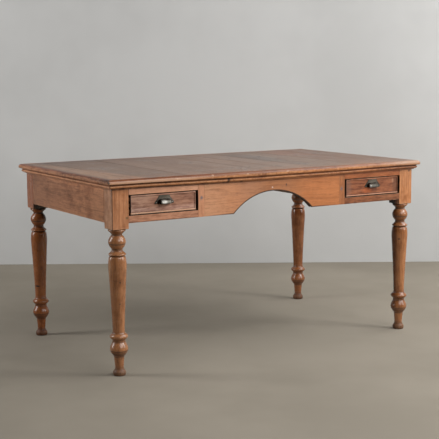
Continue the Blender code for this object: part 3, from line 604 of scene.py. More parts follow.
def waver(place: Iterable[float], features: float, seed: float = 0.0) -> float:
    """Smooth noise from -1 to 1 at a place, with that many features a metre."""
    x, y, z = place
    return noise.noise(Vector((x * features + seed * 7.3, y * features - seed * 3.1, z * features + seed)))


def box_of(piece: bpy.types.Object) -> tuple[Point, Point]:
    """The lowest and highest corner of a piece's own mesh."""
    corners = [tuple(vertex.co) for vertex in piece.data.vertices]
    return tuple(map(min, zip(*corners))), tuple(map(max, zip(*corners)))


def new_piece(name: str, bm: bmesh.types.BMesh, smooth: float = 40.0) -> bpy.types.Object:
    """Turns a bmesh into an object at the origin.

    Args:
        name: the piece's name.
        bm: its mesh in table coordinates, which is freed.
        smooth: edges sharper than this, in degrees, stay sharp.

    Returns:
        The object.
    """
    bmesh.ops.recalc_face_normals(bm, faces=bm.faces)
    mesh = bpy.data.meshes.new(name)
    bm.to_mesh(mesh)
    bm.free()
    mesh.shade_smooth()
    mesh.set_sharp_from_angle(angle=math.radians(smooth))
    piece = bpy.data.objects.new(name, mesh)
    bpy.context.scene.collection.objects.link(piece)
    return piece


def mark_vertices(piece: bpy.types.Object, wear: Sequence[float], dirt: Sequence[float]) -> None:
    """Stores how worn each vertex is and how dark it is made by dirt and painted shade, from 0 to 1."""
    for name, values in (("wear", wear), ("dirt", dirt)):
        attribute = piece.data.attributes.new(name, "FLOAT", "POINT")
        attribute.data.foreach_set("value", [unit(value) for value in values])


def carve(piece: bpy.types.Object, tool: bpy.types.Object, operation: str = "DIFFERENCE") -> None:
    """Applies one exact boolean to a piece and removes the tool.

    Args:
        piece: what is cut or joined to.
        tool: the solid that cuts or joins.
        operation: DIFFERENCE or UNION.
    """
    cut = piece.modifiers.new("cut", "BOOLEAN")
    cut.operation, cut.solver, cut.object = operation, "EXACT", tool
    bpy.context.view_layer.update()
    seen = piece.evaluated_get(bpy.context.evaluated_depsgraph_get())
    old, piece.data = piece.data, bpy.data.meshes.new_from_object(seen)
    piece.modifiers.remove(cut)
    bpy.data.meshes.remove(old)
    bpy.data.objects.remove(tool)


def cut_joints(piece: bpy.types.Object, nodes: Iterable[str]) -> None:
    for node in nodes:
        bm = bmesh.new()
        bm.from_mesh(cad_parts[node].data)
        bmesh.ops.remove_doubles(bm, verts=bm.verts, dist=1e-6)
        carve(piece, new_piece(f"tool_{node}", bm))


def box_solid(low: Point, high: Point) -> bpy.types.Object:
    """A block to cut or join with."""
    bm = bmesh.new()
    size = [b - a for a, b in zip(low, high)]
    middle = [(a + b) / 2 for a, b in zip(low, high)]
    bmesh.ops.create_cube(bm, size=1, matrix=Matrix.Translation(middle) @ Matrix.Diagonal((*size, 1)))
    return new_piece("tool_block", bm)


def slab(outline: Section, start: float, stop: float) -> bmesh.types.BMesh:
    """A slab that runs from one y to another.

    Args:
        outline: its outline, as (x, z).
        start: the y that it runs from.
        stop: the y that it runs to.

    Returns:
        The slab.
    """
    bm = bmesh.new()
    face = bm.faces.new([bm.verts.new((x, start, z)) for x, z in outline])
    for item in bmesh.ops.extrude_face_region(bm, geom=[face])["geom"]:
        if isinstance(item, bmesh.types.BMVert):
            item.co.y = stop
    bmesh.ops.recalc_face_normals(bm, faces=bm.faces)
    return bm


def front_face(bm: bmesh.types.BMesh) -> bmesh.types.BMFace:
    """The face that lies farthest to the front."""
    return min(bm.faces, key=lambda item: item.calc_center_median().y)


def arc(centre: Spot, reach: Spot, start: float, stop: float, steps: int) -> Section:
    """Points on an ellipse's arc, with its angles in degrees."""
    angles = (math.radians(start + (stop - start) * index / steps) for index in range(steps + 1))
    return [(centre[0] + reach[0] * math.cos(angle), centre[1] + reach[1] * math.sin(angle)) for angle in angles]


def stand_for(piece: bpy.types.Object, body: str, slot: str, *nodes: str) -> None:
    """Lets a piece ride on its body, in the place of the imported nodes."""
    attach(piece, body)
    if nodes:
        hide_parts(*nodes)
    LOG.info("%s rides on %s: %d faces", piece.name, body, len(piece.data.polygons))


class Skin:
    """A mesh made ring by ring, with how worn each vertex is and how dark it is made by dirt and painted shade."""

    def __init__(self) -> None:
        """Starts an empty mesh."""
        self.bm = bmesh.new()
        self.wear: list[float] = []
        self.dirt: list[float] = []
        self.rings: list[list[bmesh.types.BMVert]] = []

    def _point(self, place: Sequence[float], wear: float = 0.0, dirt: float = 0.0) -> bmesh.types.BMVert:
        """Adds one vertex."""
        self.wear.append(wear)
        self.dirt.append(dirt)
        return self.bm.verts.new(place)

    def ring(self, points: Iterable[tuple]) -> None:
        """Adds a closed ring; each point is (place,) or (place, wear, dirt)."""
        self.rings.append([self._point(*point) for point in points])

    def close(self, hubs: Sequence[Point] = (), soiled: float = 0.0) -> None:
        """Joins the rings and closes both ends, with a fan round each hub or else with one flat face.

        Args:
            hubs: the middles of the first and the last ring.
            soiled: how dirty the hubs are.
        """
        for near, far in zip(self.rings, self.rings[1:]):
            for index in range(len(near)):
                following = (index + 1) % len(near)
                self.bm.faces.new((near[index], near[following], far[following], far[index]))
        first, last = self.rings[0], self.rings[-1]
        if not hubs:
            self.bm.faces.new(first)
            self.bm.faces.new(list(reversed(last)))
        for row, place in zip((first, last), hubs):
            hub = self._point(place, 0.0, soiled)
            for index, vertex in enumerate(row):
                self.bm.faces.new((vertex, row[(index + 1) % len(row)], hub))

    def piece(self, name: str, smooth: float) -> bpy.types.Object:
        """The object, which holds its wear and its dirt and painted shade."""
        made = new_piece(name, self.bm, smooth)
        mark_vertices(made, self.wear, self.dirt)
        return made


# Turned legs


@dataclass(frozen=True)
class TurnedMember:
    """One cut of the turning: its form, and the height and radius where it ends."""

    form: Form
    top: float
    radius: float
    widest: float = 0.0
    eased: float = 0.0


@dataclass
class TurnedLegs:
    """Four legs, each turned from a square stick whose block stays square at the top."""

    half_square: float = 0.035
    block_bottom: float = 0.5727
    foot_radius: float = 0.0236
    foot_ease: float = 0.0012
    step: float = 0.00025  # between the points of the profile
    soften: float = 0.0005
    members: tuple[TurnedMember, ...] = (
        TurnedMember(Form.BEAD, 0.0215, 0.0205, 0.0251, 0.20),
        TurnedMember(Form.HOLLOW, 0.0335, 0.0168),
        TurnedMember(Form.STRAIGHT, 0.0520, 0.0182),
        TurnedMember(Form.STRAIGHT, 0.0766, 0.0207),
        TurnedMember(Form.BEAD, 0.1325, 0.0254, 0.0356, 0.28),
        TurnedMember(Form.STRAIGHT, 0.1385, 0.0252),
        TurnedMember(Form.SHOULDER, 0.1440, 0.0290),
        TurnedMember(Form.BEAD, 0.1655, 0.0285, 0.0357, 0.25),
        TurnedMember(Form.HOLLOW, 0.1770, 0.0234),
        TurnedMember(Form.SWELL, 0.4290, 0.0358),
        TurnedMember(Form.SHOULDER, 0.4665, 0.0300),
        TurnedMember(Form.STRAIGHT, 0.4692, 0.0262),
        TurnedMember(Form.STRAIGHT, 0.4710, 0.0316),
        TurnedMember(Form.BEAD, 0.4790, 0.0312, 0.0341),
        TurnedMember(Form.STRAIGHT, 0.4845, 0.0252),
        TurnedMember(Form.STRAIGHT, 0.4890, 0.0214),
        TurnedMember(Form.STRAIGHT, 0.4962, 0.0213),
        TurnedMember(Form.BEAD, 0.5490, 0.0204, 0.0341, 0.16),
        TurnedMember(Form.STRAIGHT, 0.5535, 0.0212),
        TurnedMember(Form.STRAIGHT, 0.5590, 0.0260),
        TurnedMember(Form.STRAIGHT, 0.5640, 0.0316),
        TurnedMember(Form.BEAD, 0.5712, 0.0322, 0.0346),
        TurnedMember(Form.STRAIGHT, 0.5722, 0.0290),
    )
    scores: tuple[float, ...] = (0.0985, 0.0905, 0.0840, 0.5150)  # the heights of the fine scored lines
    score_width: float = 0.0017
    score_depth: float = 0.0005
    score_reach: float = 0.0022  # rings lie closer together this near to a score
    score_dirt: float = 0.9
    ring_turn: float = math.radians(6)  # a ring follows where the profile has turned this far
    ring_spacing: float = 0.007
    fine_spacing: float = 0.0007
    crest_reach: float = 0.0025  # what stands out of the profile smoothed this far is a crest
    crest_height: float = 0.0010
    # hollows of the turning are darkened: dirt together with painted shade
    hollow_dirt: float = 1.2
    hub_dirt: float = 0.6
    oval: float = 0.002
    dents: tuple[float, float] = (0.00022, 0.0003)
    flat_foot: float = 0.002
    edge_ease: float = 0.0016
    edge_drop: float = 0.0018
    chip: float = 0.0030
    corner: float = 0.0013
    corner_waver: float = 0.0011
    corner_flare: float = 0.0016
    flare_height: float = 0.012
    side_rings: int = 26
    side_start: float = 0.005
    side_waver: float = 0.00015
    top_ease: float = 0.0012
    worn_corner: float = 0.045  # in radians, on each side of a corner

    def _cut(self, member: TurnedMember, start: Spot) -> Section:
        """The points after start on one member, as (radius, height).

        Args:
            member: the cut.
            start: where the last cut ended.

        Returns:
            The points, closely spaced.
        """
        end = (member.radius, member.top)
        count = max(8, round(math.dist(start, end) / self.step))
        shares = [index / count for index in range(1, count + 1)]
        if member.form is Form.BEAD:
            return self._bead(start, end, member, shares)
        sweep = map(member.form.swept, shares)
        return [(start[0] + (end[0] - start[0]) * across, start[1] + (end[1] - start[1]) * up) for across, up in sweep]

    @staticmethod
    def _bead(start: Spot, end: Spot, member: TurnedMember, shares: Sequence[float]) -> Section:
        """A bead: an ellipse round the axis, cut off at its ends, and eased into them by a share."""
        middle, half = (start[1] + end[1]) / 2, (end[1] - start[1]) / 2
        points = []
        for edge, side in ((start[0], -1), (end[0], 1)):
            opening = math.acos(edge / member.widest)
            for share in [1 - share for share in shares] if side < 0 else shares:
                rise = math.sin(opening * share) / math.sin(opening)
                full = member.widest * math.cos(opening * share)
                slim = edge + (member.widest - edge) * (1 + math.cos(math.pi * rise)) / 2
                points.append((full + (slim - full) * member.eased, middle + side * half * rise))
        return points

    def profile(self) -> list[tuple[float, float, float, float]]:
        """The turning from the foot up, as (radius, height, wear, dirt), where the dirt in the hollows includes
        painted shade.
        """
        points = [(self.foot_radius - self.foot_ease, 0.0), (self.foot_radius, self.foot_ease)]
        for member in self.members:
            points += self._cut(member, points[-1])
        points.append((points[-1][0], self.block_bottom))
        even = self._spaced(points)
        soft, wide = self._smoothed(even, self.soften), self._smoothed(even, self.crest_reach)
        end = len(soft) - 1
        rows, last, turned = [], 0, 0.0
        for index, (radius, height) in enumerate(soft):
            if 0 < index < end:
                before, after = soft[index - 1], soft[index + 1]
                first = math.atan2(radius - before[0], height - before[1])
                second = math.atan2(after[0] - radius, after[1] - height)
                turned += abs(math.remainder(second - first, math.tau))
            fine = min(abs(height - score) for score in self.scores) < self.score_reach
            spacing = self.fine_spacing if fine else self.ring_spacing
            if index in (0, end) or turned > self.ring_turn or (index - last) * self.step > spacing:
                crest = (radius - wide[index][0]) / self.crest_height
                scored = max(math.exp(-(((height - score) / self.score_width) ** 2)) for score in self.scores)
                # Darker in the hollows, as dirt together with painted shade, and in the scored lines.
                soiled = max(-crest * self.hollow_dirt, self.score_dirt * scored)
                rows.append((radius - self.score_depth * scored, height, crest - scored, soiled))
                last, turned = index, 0.0
        return rows

    def _spaced(self, points: Section) -> Section:
        """The same line with its points evenly spaced."""
        spaced, left = [points[0]], 0.0
        for start, end in zip(points, points[1:]):
            length = math.dist(start, end)
            along = self.step - left
            while along <= length:
                share = along / length
                spaced.append((start[0] + (end[0] - start[0]) * share, start[1] + (end[1] - start[1]) * share))
                along += self.step
            left = length - (along - self.step)
        return spaced + [points[-1]]

    def _smoothed(self, points: Section, reach: float) -> Section:
        """The same line, softened over about that reach; its ends stay."""
        span, last = round(3 * reach / self.step), len(points) - 1
        weights = [math.exp(-0.5 * (offset * self.step / reach) ** 2) for offset in range(-span, span + 1)]
        total = sum(weights)
        soft = []
        for index in range(1, last):
            near = [points[min(last, max(0, index + offset))] for offset in range(-span, span + 1)]
            soft.append(tuple(sum(w * p[axis] for w, p in zip(weights, near)) / total for axis in (0, 1)))
        return [points[0]] + soft + [points[-1]]

    @staticmethod
    def _angles() -> list[float]:
        """Where the facets stand round the axis: every 5 degrees, and closer at the block's corners."""
        angles = set(range(0, 3600, 50))
        for corner in range(450, 3600, 900):
            angles.update(corner + offset for offset in (-25, -16, -10, -5, 0, 5, 10, 16, 25))
        return [math.radians(angle / 10) for angle in sorted(angles)]

    @staticmethod
    def _square(angle: float, half: float, corner: float) -> float:
        """How far a square with rounded corners reaches at an angle."""
        big, small = sorted((abs(math.cos(angle)), abs(math.sin(angle))), reverse=True)
        core = half - corner
        if half * small / big <= core:
            return half / big
        along = core * (big + small)
        return along + math.sqrt(max(0.0, along * along - 2 * core * core + corner * corner))

    def _mesh(self, centre: Spot, top: float, seed: float) -> Skin:
        """One leg's mesh.

        Args:
            centre: its axis in x and y.
            top: the height of its block's top.
            seed: what sets its wear apart.

        Returns:
            The closed mesh.
        """
        skin, angles = Skin(), self._angles()

        def ring(at: Callable[[float], tuple[float, float, float, float]]) -> None:
            """Adds a ring that has (radius, height, wear, dirt) at each angle."""
            points = []
            for angle in angles:
                radius, height, wear, dirt = at(angle)
                place = (centre[0] + radius * math.cos(angle), centre[1] + radius * math.sin(angle), height)
                points.append((place, wear, dirt))
            skin.ring(points)

        for radius, height, crest, hollow in self.profile():
            ring(lambda angle: (self._dented(radius, height, angle, seed), height, crest, hollow))
        self._block(ring, top, seed)
        skin.close(((*centre, 0.0), (*centre, top)), self.hub_dirt)
        return skin

    def _dented(self, radius: float, height: float, angle: float, seed: float) -> float:
        """A turned radius, made a little oval and uneven above the foot."""
        spot = (math.cos(angle) * radius, math.sin(angle) * radius, height)
        dent = self.dents[0] * waver(spot, 38, seed) + self.dents[1] * waver(spot, 9, seed + 5)
        return radius * (1 + self.oval * math.sin(2 * angle + seed)) + (dent if height > self.flat_foot else 0.0)

    def _block(self, ring: Callable[[Callable], None], top: float, seed: float) -> None:
        """Adds the rings of the square block, from its underside up.

        Args:
            ring: adds one ring.
            top: the height of its top.
            seed: what sets its wear apart.
        """
        half, low, start = self.half_square, self.block_bottom, self.members[-1].radius

        def reach(angle: float, height: float) -> float:
            """How far the block reaches, with corners that vary and are rounder near its lower edge."""
            side = round(angle / QUARTER - 0.5)
            varied = self.corner + self.corner_waver * max(0.0, waver((side, 0, height), 22, seed))
            flared = self.corner_flare * max(0.0, 1 - (height - low) / self.flare_height) ** 2
            return self._square(angle, half, varied + flared)

        def lower_edge(angle: float, turn: float) -> tuple[float, float, float, float]:
            """The eased and chipped lower edge, at a turn from the underside to the side."""
            spot = (math.cos(angle) * half, math.sin(angle) * half, 0)
            drop = self.edge_drop + self.chip * max(0.0, waver(spot, 60, seed + 2) - 0.12)
            inward = self.edge_ease * (1 - math.sin(turn))
            return reach(angle, low) - inward, low + drop * (1 - math.cos(turn)), 0.9, 0.0

        def side(angle: float, height: float) -> tuple[float, float, float, float]:
            """The side, worn at its corners."""
            spot = (math.cos(angle) * half, math.sin(angle) * half, height)
            from_corner = abs(abs(math.remainder(angle, QUARTER)) - QUARTER / 2)
            radius = reach(angle, height) - self.side_waver * (1 + waver(spot, 26, seed))
            return radius, height, max(0.0, 1 - from_corner / self.worn_corner), 0.0

        # The block's underside darkens towards the turning: dirt together with painted shade under the block.
        for share in (0.35, 0.7, 1.0):
            ring(lambda angle: (
                start + (self._square(angle, half - self.edge_ease, 0.003) - start) * share,
                low, 0.5 * (share == 1), 0.75 * (1 - share),
            ))
        for share in (0.3, 0.65, 1.0):
            ring(lambda angle: lower_edge(angle, share * QUARTER))
        for index in range(1, self.side_rings + 1):
            rise = (top - self.top_ease - low - self.side_start) * (index / self.side_rings) ** 1.15
            ring(lambda angle: side(angle, low + self.side_start + rise))
        ring(lambda angle: (self._square(angle, half - self.top_ease, 0.001), top, 0.4, 0.2))

    def build(self, finishes: "Finishes") -> None:
        """Builds and dresses the four legs."""
        for number, node in enumerate(("leg_front_left", "leg_front_right", "leg_back_left", "leg_back_right")):
            low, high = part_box(node)
            seed = 3.7 + 2.9 * number
            centre = ((low.x + high.x) / 2, (low.y + high.y) / 2)
            leg = self._mesh(centre, high.z, seed).piece(f"turned_{node}", 60)
            cut_joints(leg, self._neighbours(node))
            finishes.dress(leg, node, GrainRun.UPRIGHT_FACE_Y, seed, modelled_wear=True)
            stand_for(leg, "frame", "leg_wood", node)

    @staticmethod
    def _neighbours(node: str) -> list[str]:
        """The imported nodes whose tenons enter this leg's block."""
        low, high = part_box(node)
        found = []
        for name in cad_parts:
            if name.startswith(("end_apron", "back_apron", "upper_rail", "lower_rail", "runner")):
                near_low, near_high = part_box(name)
                if min(min(a, b) - max(c, d) for a, b, c, d in zip(high, near_high, low, near_low)) > 0.001:
                    found.append(name)
        return found


# Mouldings


@dataclass(frozen=True)
class Nick:
    """A small break in a moulding's edge: where, how long and how deep."""

    place: float
    reach: float
    depth: float


@dataclass
class Moulding:
    """Four mitred lengths of one moulding round a rectangle."""

    name: str
    half_x: float
    half_y: float
    section: Section
    nicks: dict[str, tuple[Nick, ...]] = field(default_factory=dict)
    # the section darkens near its lower and upper edges: dirt together with painted shade under the moulding and under
    # the overhang above it
    dirt_below: float = 0.0018
    dirt_above: float = 0.0
    specked: float = 0.0
    sag_low: float = 0.0
    sag_high: float = 0.0
    sag_half_run: float = 0.58
    station: float = 0.006
    plain_depth: float = 0.002  # nothing is worn this near to the frame
    nose: float = 0.90  # the share of the depth beyond which it is the nose
    unevenness: float = 0.00035
    chipping: float = 0.0013
    most_lost: float = 0.35
    crown_from: float = 0.009
    crown_lost: float = 0.4
    full_wear: float = 0.0014

    def build(self, finishes: "Finishes") -> None:
        """Builds and dresses the four lengths."""
        faces = {"front": (1, -1), "back": (1, 1), "left": (0, -1), "right": (0, 1)}
        for number, (side, (axis, sign)) in enumerate(faces.items()):
            node = f"{self.name}_{side}"
            seed = 1.3 + number * 4.1 + len(self.name)
            piece = self._mesh(side, axis, sign, seed).piece(f"worked_{node}", 50)
            finishes.dress(piece, node, GrainRun.X_FACE_Y if axis else GrainRun.Y_FACE_X, seed, modelled_wear=True)
            stand_for(piece, "frame", "moulding_wood", node)

    def _mesh(self, side: str, axis: int, sign: int, seed: float) -> Skin:
        """One length's mesh.

        Args:
            side: which side of the rectangle it runs along.
            axis: the axis that this side faces, 0 or 1.
            sign: which way it faces.
            seed: what sets its wear apart.

        Returns:
            The closed mesh.
        """
        skin = Skin()
        half_run, half_other = (self.half_x, self.half_y) if axis else (self.half_y, self.half_x)
        count = round(2 * half_run / self.station)
        low, high = self.section[0][1], self.section[-1][1]
        most = self.most_lost * max(out for out, _ in self.section)
        for index in range(count + 1):
            points = []
            for out, z in self.section:
                run = (2 * index / count - 1) * (half_run + out - FIT / 2)
                lost, wear, dirt = self._aged(side, run, out, z, seed)
                sag = max(0.0, 1 - (run / self.sag_half_run) ** 2) if side == "front" else 0.0
                drop = sag * (self.sag_low + (self.sag_high - self.sag_low) * (z - low) / (high - low))
                level = sign * (half_other + out - min(lost, most))
                height = z - drop - (self.crown_lost * lost if z > low + self.crown_from else 0.0)
                points.append(((run, level, height) if axis else (level, run, height), wear, dirt))
            skin.ring(points)
        skin.close()
        return skin

    def _aged(self, side: str, run: float, out: float, z: float, seed: float) -> tuple[float, float, float]:
        """How much wood is lost at a point of the section, how worn it is and how dark it is made by dirt and painted
        shade.

        Args:
            side: which side of the rectangle it is on.
            run: the point's place along the length.
            out: its distance from the frame.
            z: its height.
            seed: what sets this length apart.

        Returns:
            The depth lost, the wear, and the dirt with painted shade.
        """
        widest = max(reach for reach, _ in self.section)
        low, high = self.section[0][1], self.section[-1][1]
        proud = unit((out / widest - self.nose) / (1 - self.nose))
        lost = 0.0
        if out > self.plain_depth:
            lost = self.unevenness * (0.6 + waver((run, out, z), 24, seed)) * (0.3 + proud)
            lost += self.chipping * proud * max(0.0, waver((run, seed, z), 75, seed) - 0.25)
            for nick in self.nicks.get(side, ()):
                lost += nick.depth * (0.3 + 0.7 * proud) * max(0.0, 1 - ((run - nick.place) / nick.reach) ** 2)
        wear = proud * (0.75 + 0.5 * waver((run, out, z), 9, seed + 3)) + lost / self.full_wear - 0.2
        # Darkening near the section's edges, strongest at the front's left: dirt together with painted shade in the
        # groove and under the moulding.
        grime = 1.5 - 1.38 * unit((run + 0.45) / 0.4) if side == "front" else 0.15  # most at the front's left
        soil = max(1 - (z - low) / self.dirt_below, 1 - (high - z) / self.dirt_above if self.dirt_above else 0.0)
        specks = max(0.0, waver((run, 0, z), 60, seed + 9) - 0.22) * 1.8 * (grime > 0.4)
        smear = 0.75 + 0.6 * waver((run, out, z), 30, seed) + 0.5 * waver((run, out, z), 110, seed)
        return lost, wear, specks * self.specked + grime * soil * smear


def edge_moulding() -> Moulding:
    """The moulding round the top: a thumb that falls to a blunt nose, with a small flat below."""
    low, high = (corner.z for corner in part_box("edge_moulding_front"))
    board_low, board_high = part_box("top_board_1")
    width = board_low.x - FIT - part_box("edge_moulding_left")[0].x
    height, under, thumb = high - low, 0.0030, 0.0120
    section = [(0.0, low), (width * 0.35, low)]
    section += arc((width - under, low + under), (under, under), -90, 0, 8)
    section += arc((width - thumb, low + height * 0.36), (thumb, height * 0.64), 0, 90, 24)
    section.append((0.0, high))
    front = ((-0.306, 0.010, 0.0016), (-0.241, 0.012, 0.0016), (-0.2035, 0.008, 0.0012), (0.31, 0.008, 0.0010))
    left = ((-0.36, 0.012, 0.0016), (-0.12, 0.010, 0.0012), (0.2, 0.02, 0.001))
    nicks = {"front": tuple(Nick(*nick) for nick in front), "left": tuple(Nick(*nick) for nick in left)}
    return Moulding("edge_moulding", FIT - board_low.x, board_high.y + FIT, section, nicks, sag_low=0.0030)


def lower_moulding() -> Moulding:
    """The moulding under it: a round between two narrow fillets."""
    low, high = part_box("lower_moulding_front")
    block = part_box("leg_front_left")[0]
    half_x, half_y = FIT - block.x, FIT - block.y
    depth, height = -low.y - half_y, high.z - low.z
    section = [(0.0, low.z), (depth * 0.40, low.z)]
    section += arc((depth * 0.40, low.z + height * 0.50), (depth * 0.60, height * 0.34), -90, 45, 20)
    section += [(depth * 0.78, high.z - height * 0.23), (depth * 0.90, high.z - height * 0.16)]
    section += [(depth * 0.90, high.z), (0.0, high.z)]
    return Moulding(
        "lower_moulding", half_x, half_y, section, {"front": (Nick(-0.26, 0.008, 0.0004),)},
        dirt_below=0.0055, dirt_above=0.0055, specked=1.0, sag_low=0.0042, sag_high=0.0031,
    )


# The top


@dataclass
class TopBoards:
    """Eight boards with eased edges that have shrunk a little and lie not quite flat."""

    eased: float = 0.0007
    edge_depth: float = 2.2  # in times the ease
    open_joint: float = 0.0005
    clean_from: float = 0.0016
    rows: int = 72
    columns: int = 18
    tight: float = 0.0002
    shrunk: dict[int, float] = field(default_factory=lambda: {2: 0.0011, 3: 0.0014, 4: 0.0010, 5: 0.0010, 6: 0.0006})
    uneven: float = 0.00016
    cupped: float = 0.00012
    edge_wear: float = 0.2

    def _mesh(self, low: Vector, high: Vector, gaps: Spot, seed: float) -> Skin:
        """One board's mesh.

        Args:
            low: its lowest corner as packed.
            high: its highest corner.
            gaps: how much its left and its right edge have shrunk back.
            seed: what sets it apart.

        Returns:
            The closed mesh.
        """
        skin, ease = Skin(), self.eased
        soiled = [0.32 + 0.66 * min(1.0, gap_width / self.open_joint) for gap_width in gaps]
        rounded = ((0.0, -ease, 1.0), (0.3 * ease, -0.3 * ease, 1.0), (ease, 0.0, 0.5))
        shoulder = (*rounded, (ease + self.clean_from, 0.0, 0.0))
        cupped = self.cupped * (seed % 2 > 1)
        for index in range(self.rows + 1):
            y = low.y + (high.y - low.y) * index / self.rows
            parted = min(1.0, (high.y - abs(y)) / 0.02 + 0.3) * (0.50 + 0.50 * unit((y + 0.36) / 0.2))
            opened = [gaps[end] * (0.6 + 0.4 * waver((y, end, 0), 3.5, seed + end)) * parted for end in (0, 1)]
            start, stop = low.x + opened[0], high.x - opened[1]
            ends = []
            for edge, inward, soil in ((start, 1, soiled[0]), (stop, -1, soiled[1])):
                lower = [((edge, y, low.z), 0.0, 1.0), ((edge, y, high.z - self.edge_depth * ease), 0.0, 0.9)]
                ends.append(lower + [
                    ((edge + inward * reach, y, high.z + drop), self.edge_wear * share, soil * share * parted)
                    for reach, drop, share in shoulder
                ])
            face = []
            for column in range(1, self.columns):
                share = column / self.columns
                x = start + ease + (stop - start - 2 * ease) * share
                sag = self.uneven * (1 + waver((x, y, 0), 11, seed)) + cupped * (1 - math.cos(math.tau * share))
                face.append(((x, y, high.z - sag), 0.0, 0.0))
            skin.ring(ends[0] + face + ends[1][::-1])
        skin.close()
        return skin

    def build(self, finishes: "Finishes") -> None:
        """Builds and dresses the eight boards."""
        for number in range(1, 9):
            node = f"top_board_{number}"
            gaps = tuple(self.shrunk.get(joint, self.tight) / 2 for joint in (number - 1, number))
            board = self._mesh(*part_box(node), gaps, number * 5.3).piece(f"laid_{node}", 50)
            finishes.dress(board, node, GrainRun.Y_FACE_Z, number * 5.3, modelled_wear=True)
            stand_for(board, "frame", "top_wood", node)


# The front


@dataclass
class ArchedPanel:
    """The panel over the knees: one wide board with a circular arch cut up into it."""

    span: float = 0.387
    rise: float = 0.0825
    off_centre: float = -0.0035
    steps: int = 120
    arris: float = 0.0011
    # the arch, its soffit and the lower edge are darkened in bands along them: dirt together with painted shade
    soiled: float = 0.0016
    faded: float = 0.0030
    edge_dirt: float = 0.95
    clean_top: float = 0.02
    clean_end: float = 0.002
    tenon_thickness: float = 0.009
    tenon_foot: float = 0.14
    tenon_head: float = 0.24
    tenon_reach: float = 0.0105
    tenon_root: float = 0.004

    def _outline(self, low: Vector, high: Vector, reach: float) -> Section:
        """The panel between its shoulders, with the arch cut into its lower edge."""
        radius = ((self.span / 2) ** 2 + self.rise**2) / (2 * self.rise)
        centre, opening = low.z + self.rise - radius, math.asin(self.span / 2 / radius)
        turns = (opening * (2 * index / self.steps - 1) for index in range(self.steps + 1))
        arch = [(self.off_centre + radius * math.sin(turn), centre + radius * math.cos(turn)) for turn in turns]
        return [(reach, high.z), (-reach, high.z), (-reach, low.z)] + arch + [(reach, low.z)]

    def build(self, finishes: "Finishes") -> None:
        """Builds and dresses the panel."""
        low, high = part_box("arch_panel")
        reach = high.x - self.tenon_reach
        bm = slab(self._outline(low, high, reach), low.y, high.y)
        edges = [
            edge for edge in bm.edges
            if edge.calc_face_angle(0) > math.radians(30) and any(abs(v.co.x) <= reach - 1e-5 for v in edge.verts)
        ]
        bmesh.ops.bevel(
            bm, geom=edges, offset=self.arris, segments=3, profile=0.5, affect="EDGES", clamp_overlap=True
        )
        front = front_face(bm)
        for band in (self.soiled, self.faded):
            bmesh.ops.inset_individual(bm, faces=[front], thickness=band, use_even_offset=True)
        inner = set(front.verts)
        # Everything but the clean front, the top and the ends is darkened: dirt together with painted shade along the
        # arch.
        dirt = []
        for vertex in bm.verts:
            x, z = abs(vertex.co.x), vertex.co.z
            clean = vertex in inner or z > high.z - self.clean_top or x > reach - self.clean_end
            dirt.append(0.0 if clean else self.edge_dirt)
        panel = new_piece("cut_arch_panel", bm, 35)
        mark_vertices(panel, [0.0] * len(dirt), dirt)
        inset, height = (high.y - low.y - self.tenon_thickness) / 2, high.z - low.z
        foot, head = low.z + height * self.tenon_foot, high.z - height * self.tenon_head
        for sign in SIDES.values():
            start, stop = sorted((sign * (reach - self.tenon_root), sign * high.x))
            carve(panel, box_solid((start, low.y + inset, foot), (stop, high.y - inset, head)), "UNION")
        finishes.dress(panel, "arch_panel", GrainRun.X_FACE_Y, 4.4, modelled_wear=True)
        stand_for(panel, "frame", "frame_wood", "arch_panel")


@dataclass
class DrawerFront:
    """A drawer front with a round bead and a fine quirk worked round its face."""

    bead_width: float = 0.0062
    bead_height: float = 0.0024
    quirk_width: float = 0.0012
    quirk_depth: float = 0.0010
    steps: int = 14
    seeds: dict[str, float] = field(default_factory=lambda: {"left": 7.7, "right": 12.9})

    def build(self, side: str, finishes: "Finishes") -> None:
        """Builds and dresses one front.

        Args:
            side: left or right.
            finishes: every piece's finish.
        """
        node = f"drawer_front_{side}"
        low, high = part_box(node)
        board = box_solid((low.x, low.y + self.bead_height, low.z), tuple(high))
        bm = bmesh.new()
        bm.from_mesh(board.data)
        bpy.data.objects.remove(board)
        face = front_face(bm)
        rows = [(0.0, 0.0)]
        for step in range(1, self.steps + 1):
            angle = math.pi * step / self.steps
            rows.append((self.bead_width * (1 - math.cos(angle)) / 2, self.bead_height * math.sin(angle)))
        rows[-1] = (rows[-1][0], rows[-1][1] - self.quirk_depth)
        rows.append((rows[-1][0] + self.quirk_width, rows[-1][1] + self.quirk_depth))
        for (inset, rise), (next_inset, next_rise) in zip(rows, rows[1:]):
            bmesh.ops.inset_individual(
                bm, faces=[face], thickness=next_inset - inset, depth=next_rise - rise, use_even_offset=True
            )
        piece = new_piece(f"beaded_{node}", bm, 38)
        cut_joints(piece, (f"drawer_side_{side}_inner", f"drawer_side_{side}_outer", f"drawer_bottom_{side}"))
        finishes.dress(piece, node, GrainRun.X_FACE_Y, self.seeds[side])
        stand_for(piece, f"drawer_{side}", "drawer_wood", node)


# Metalwork


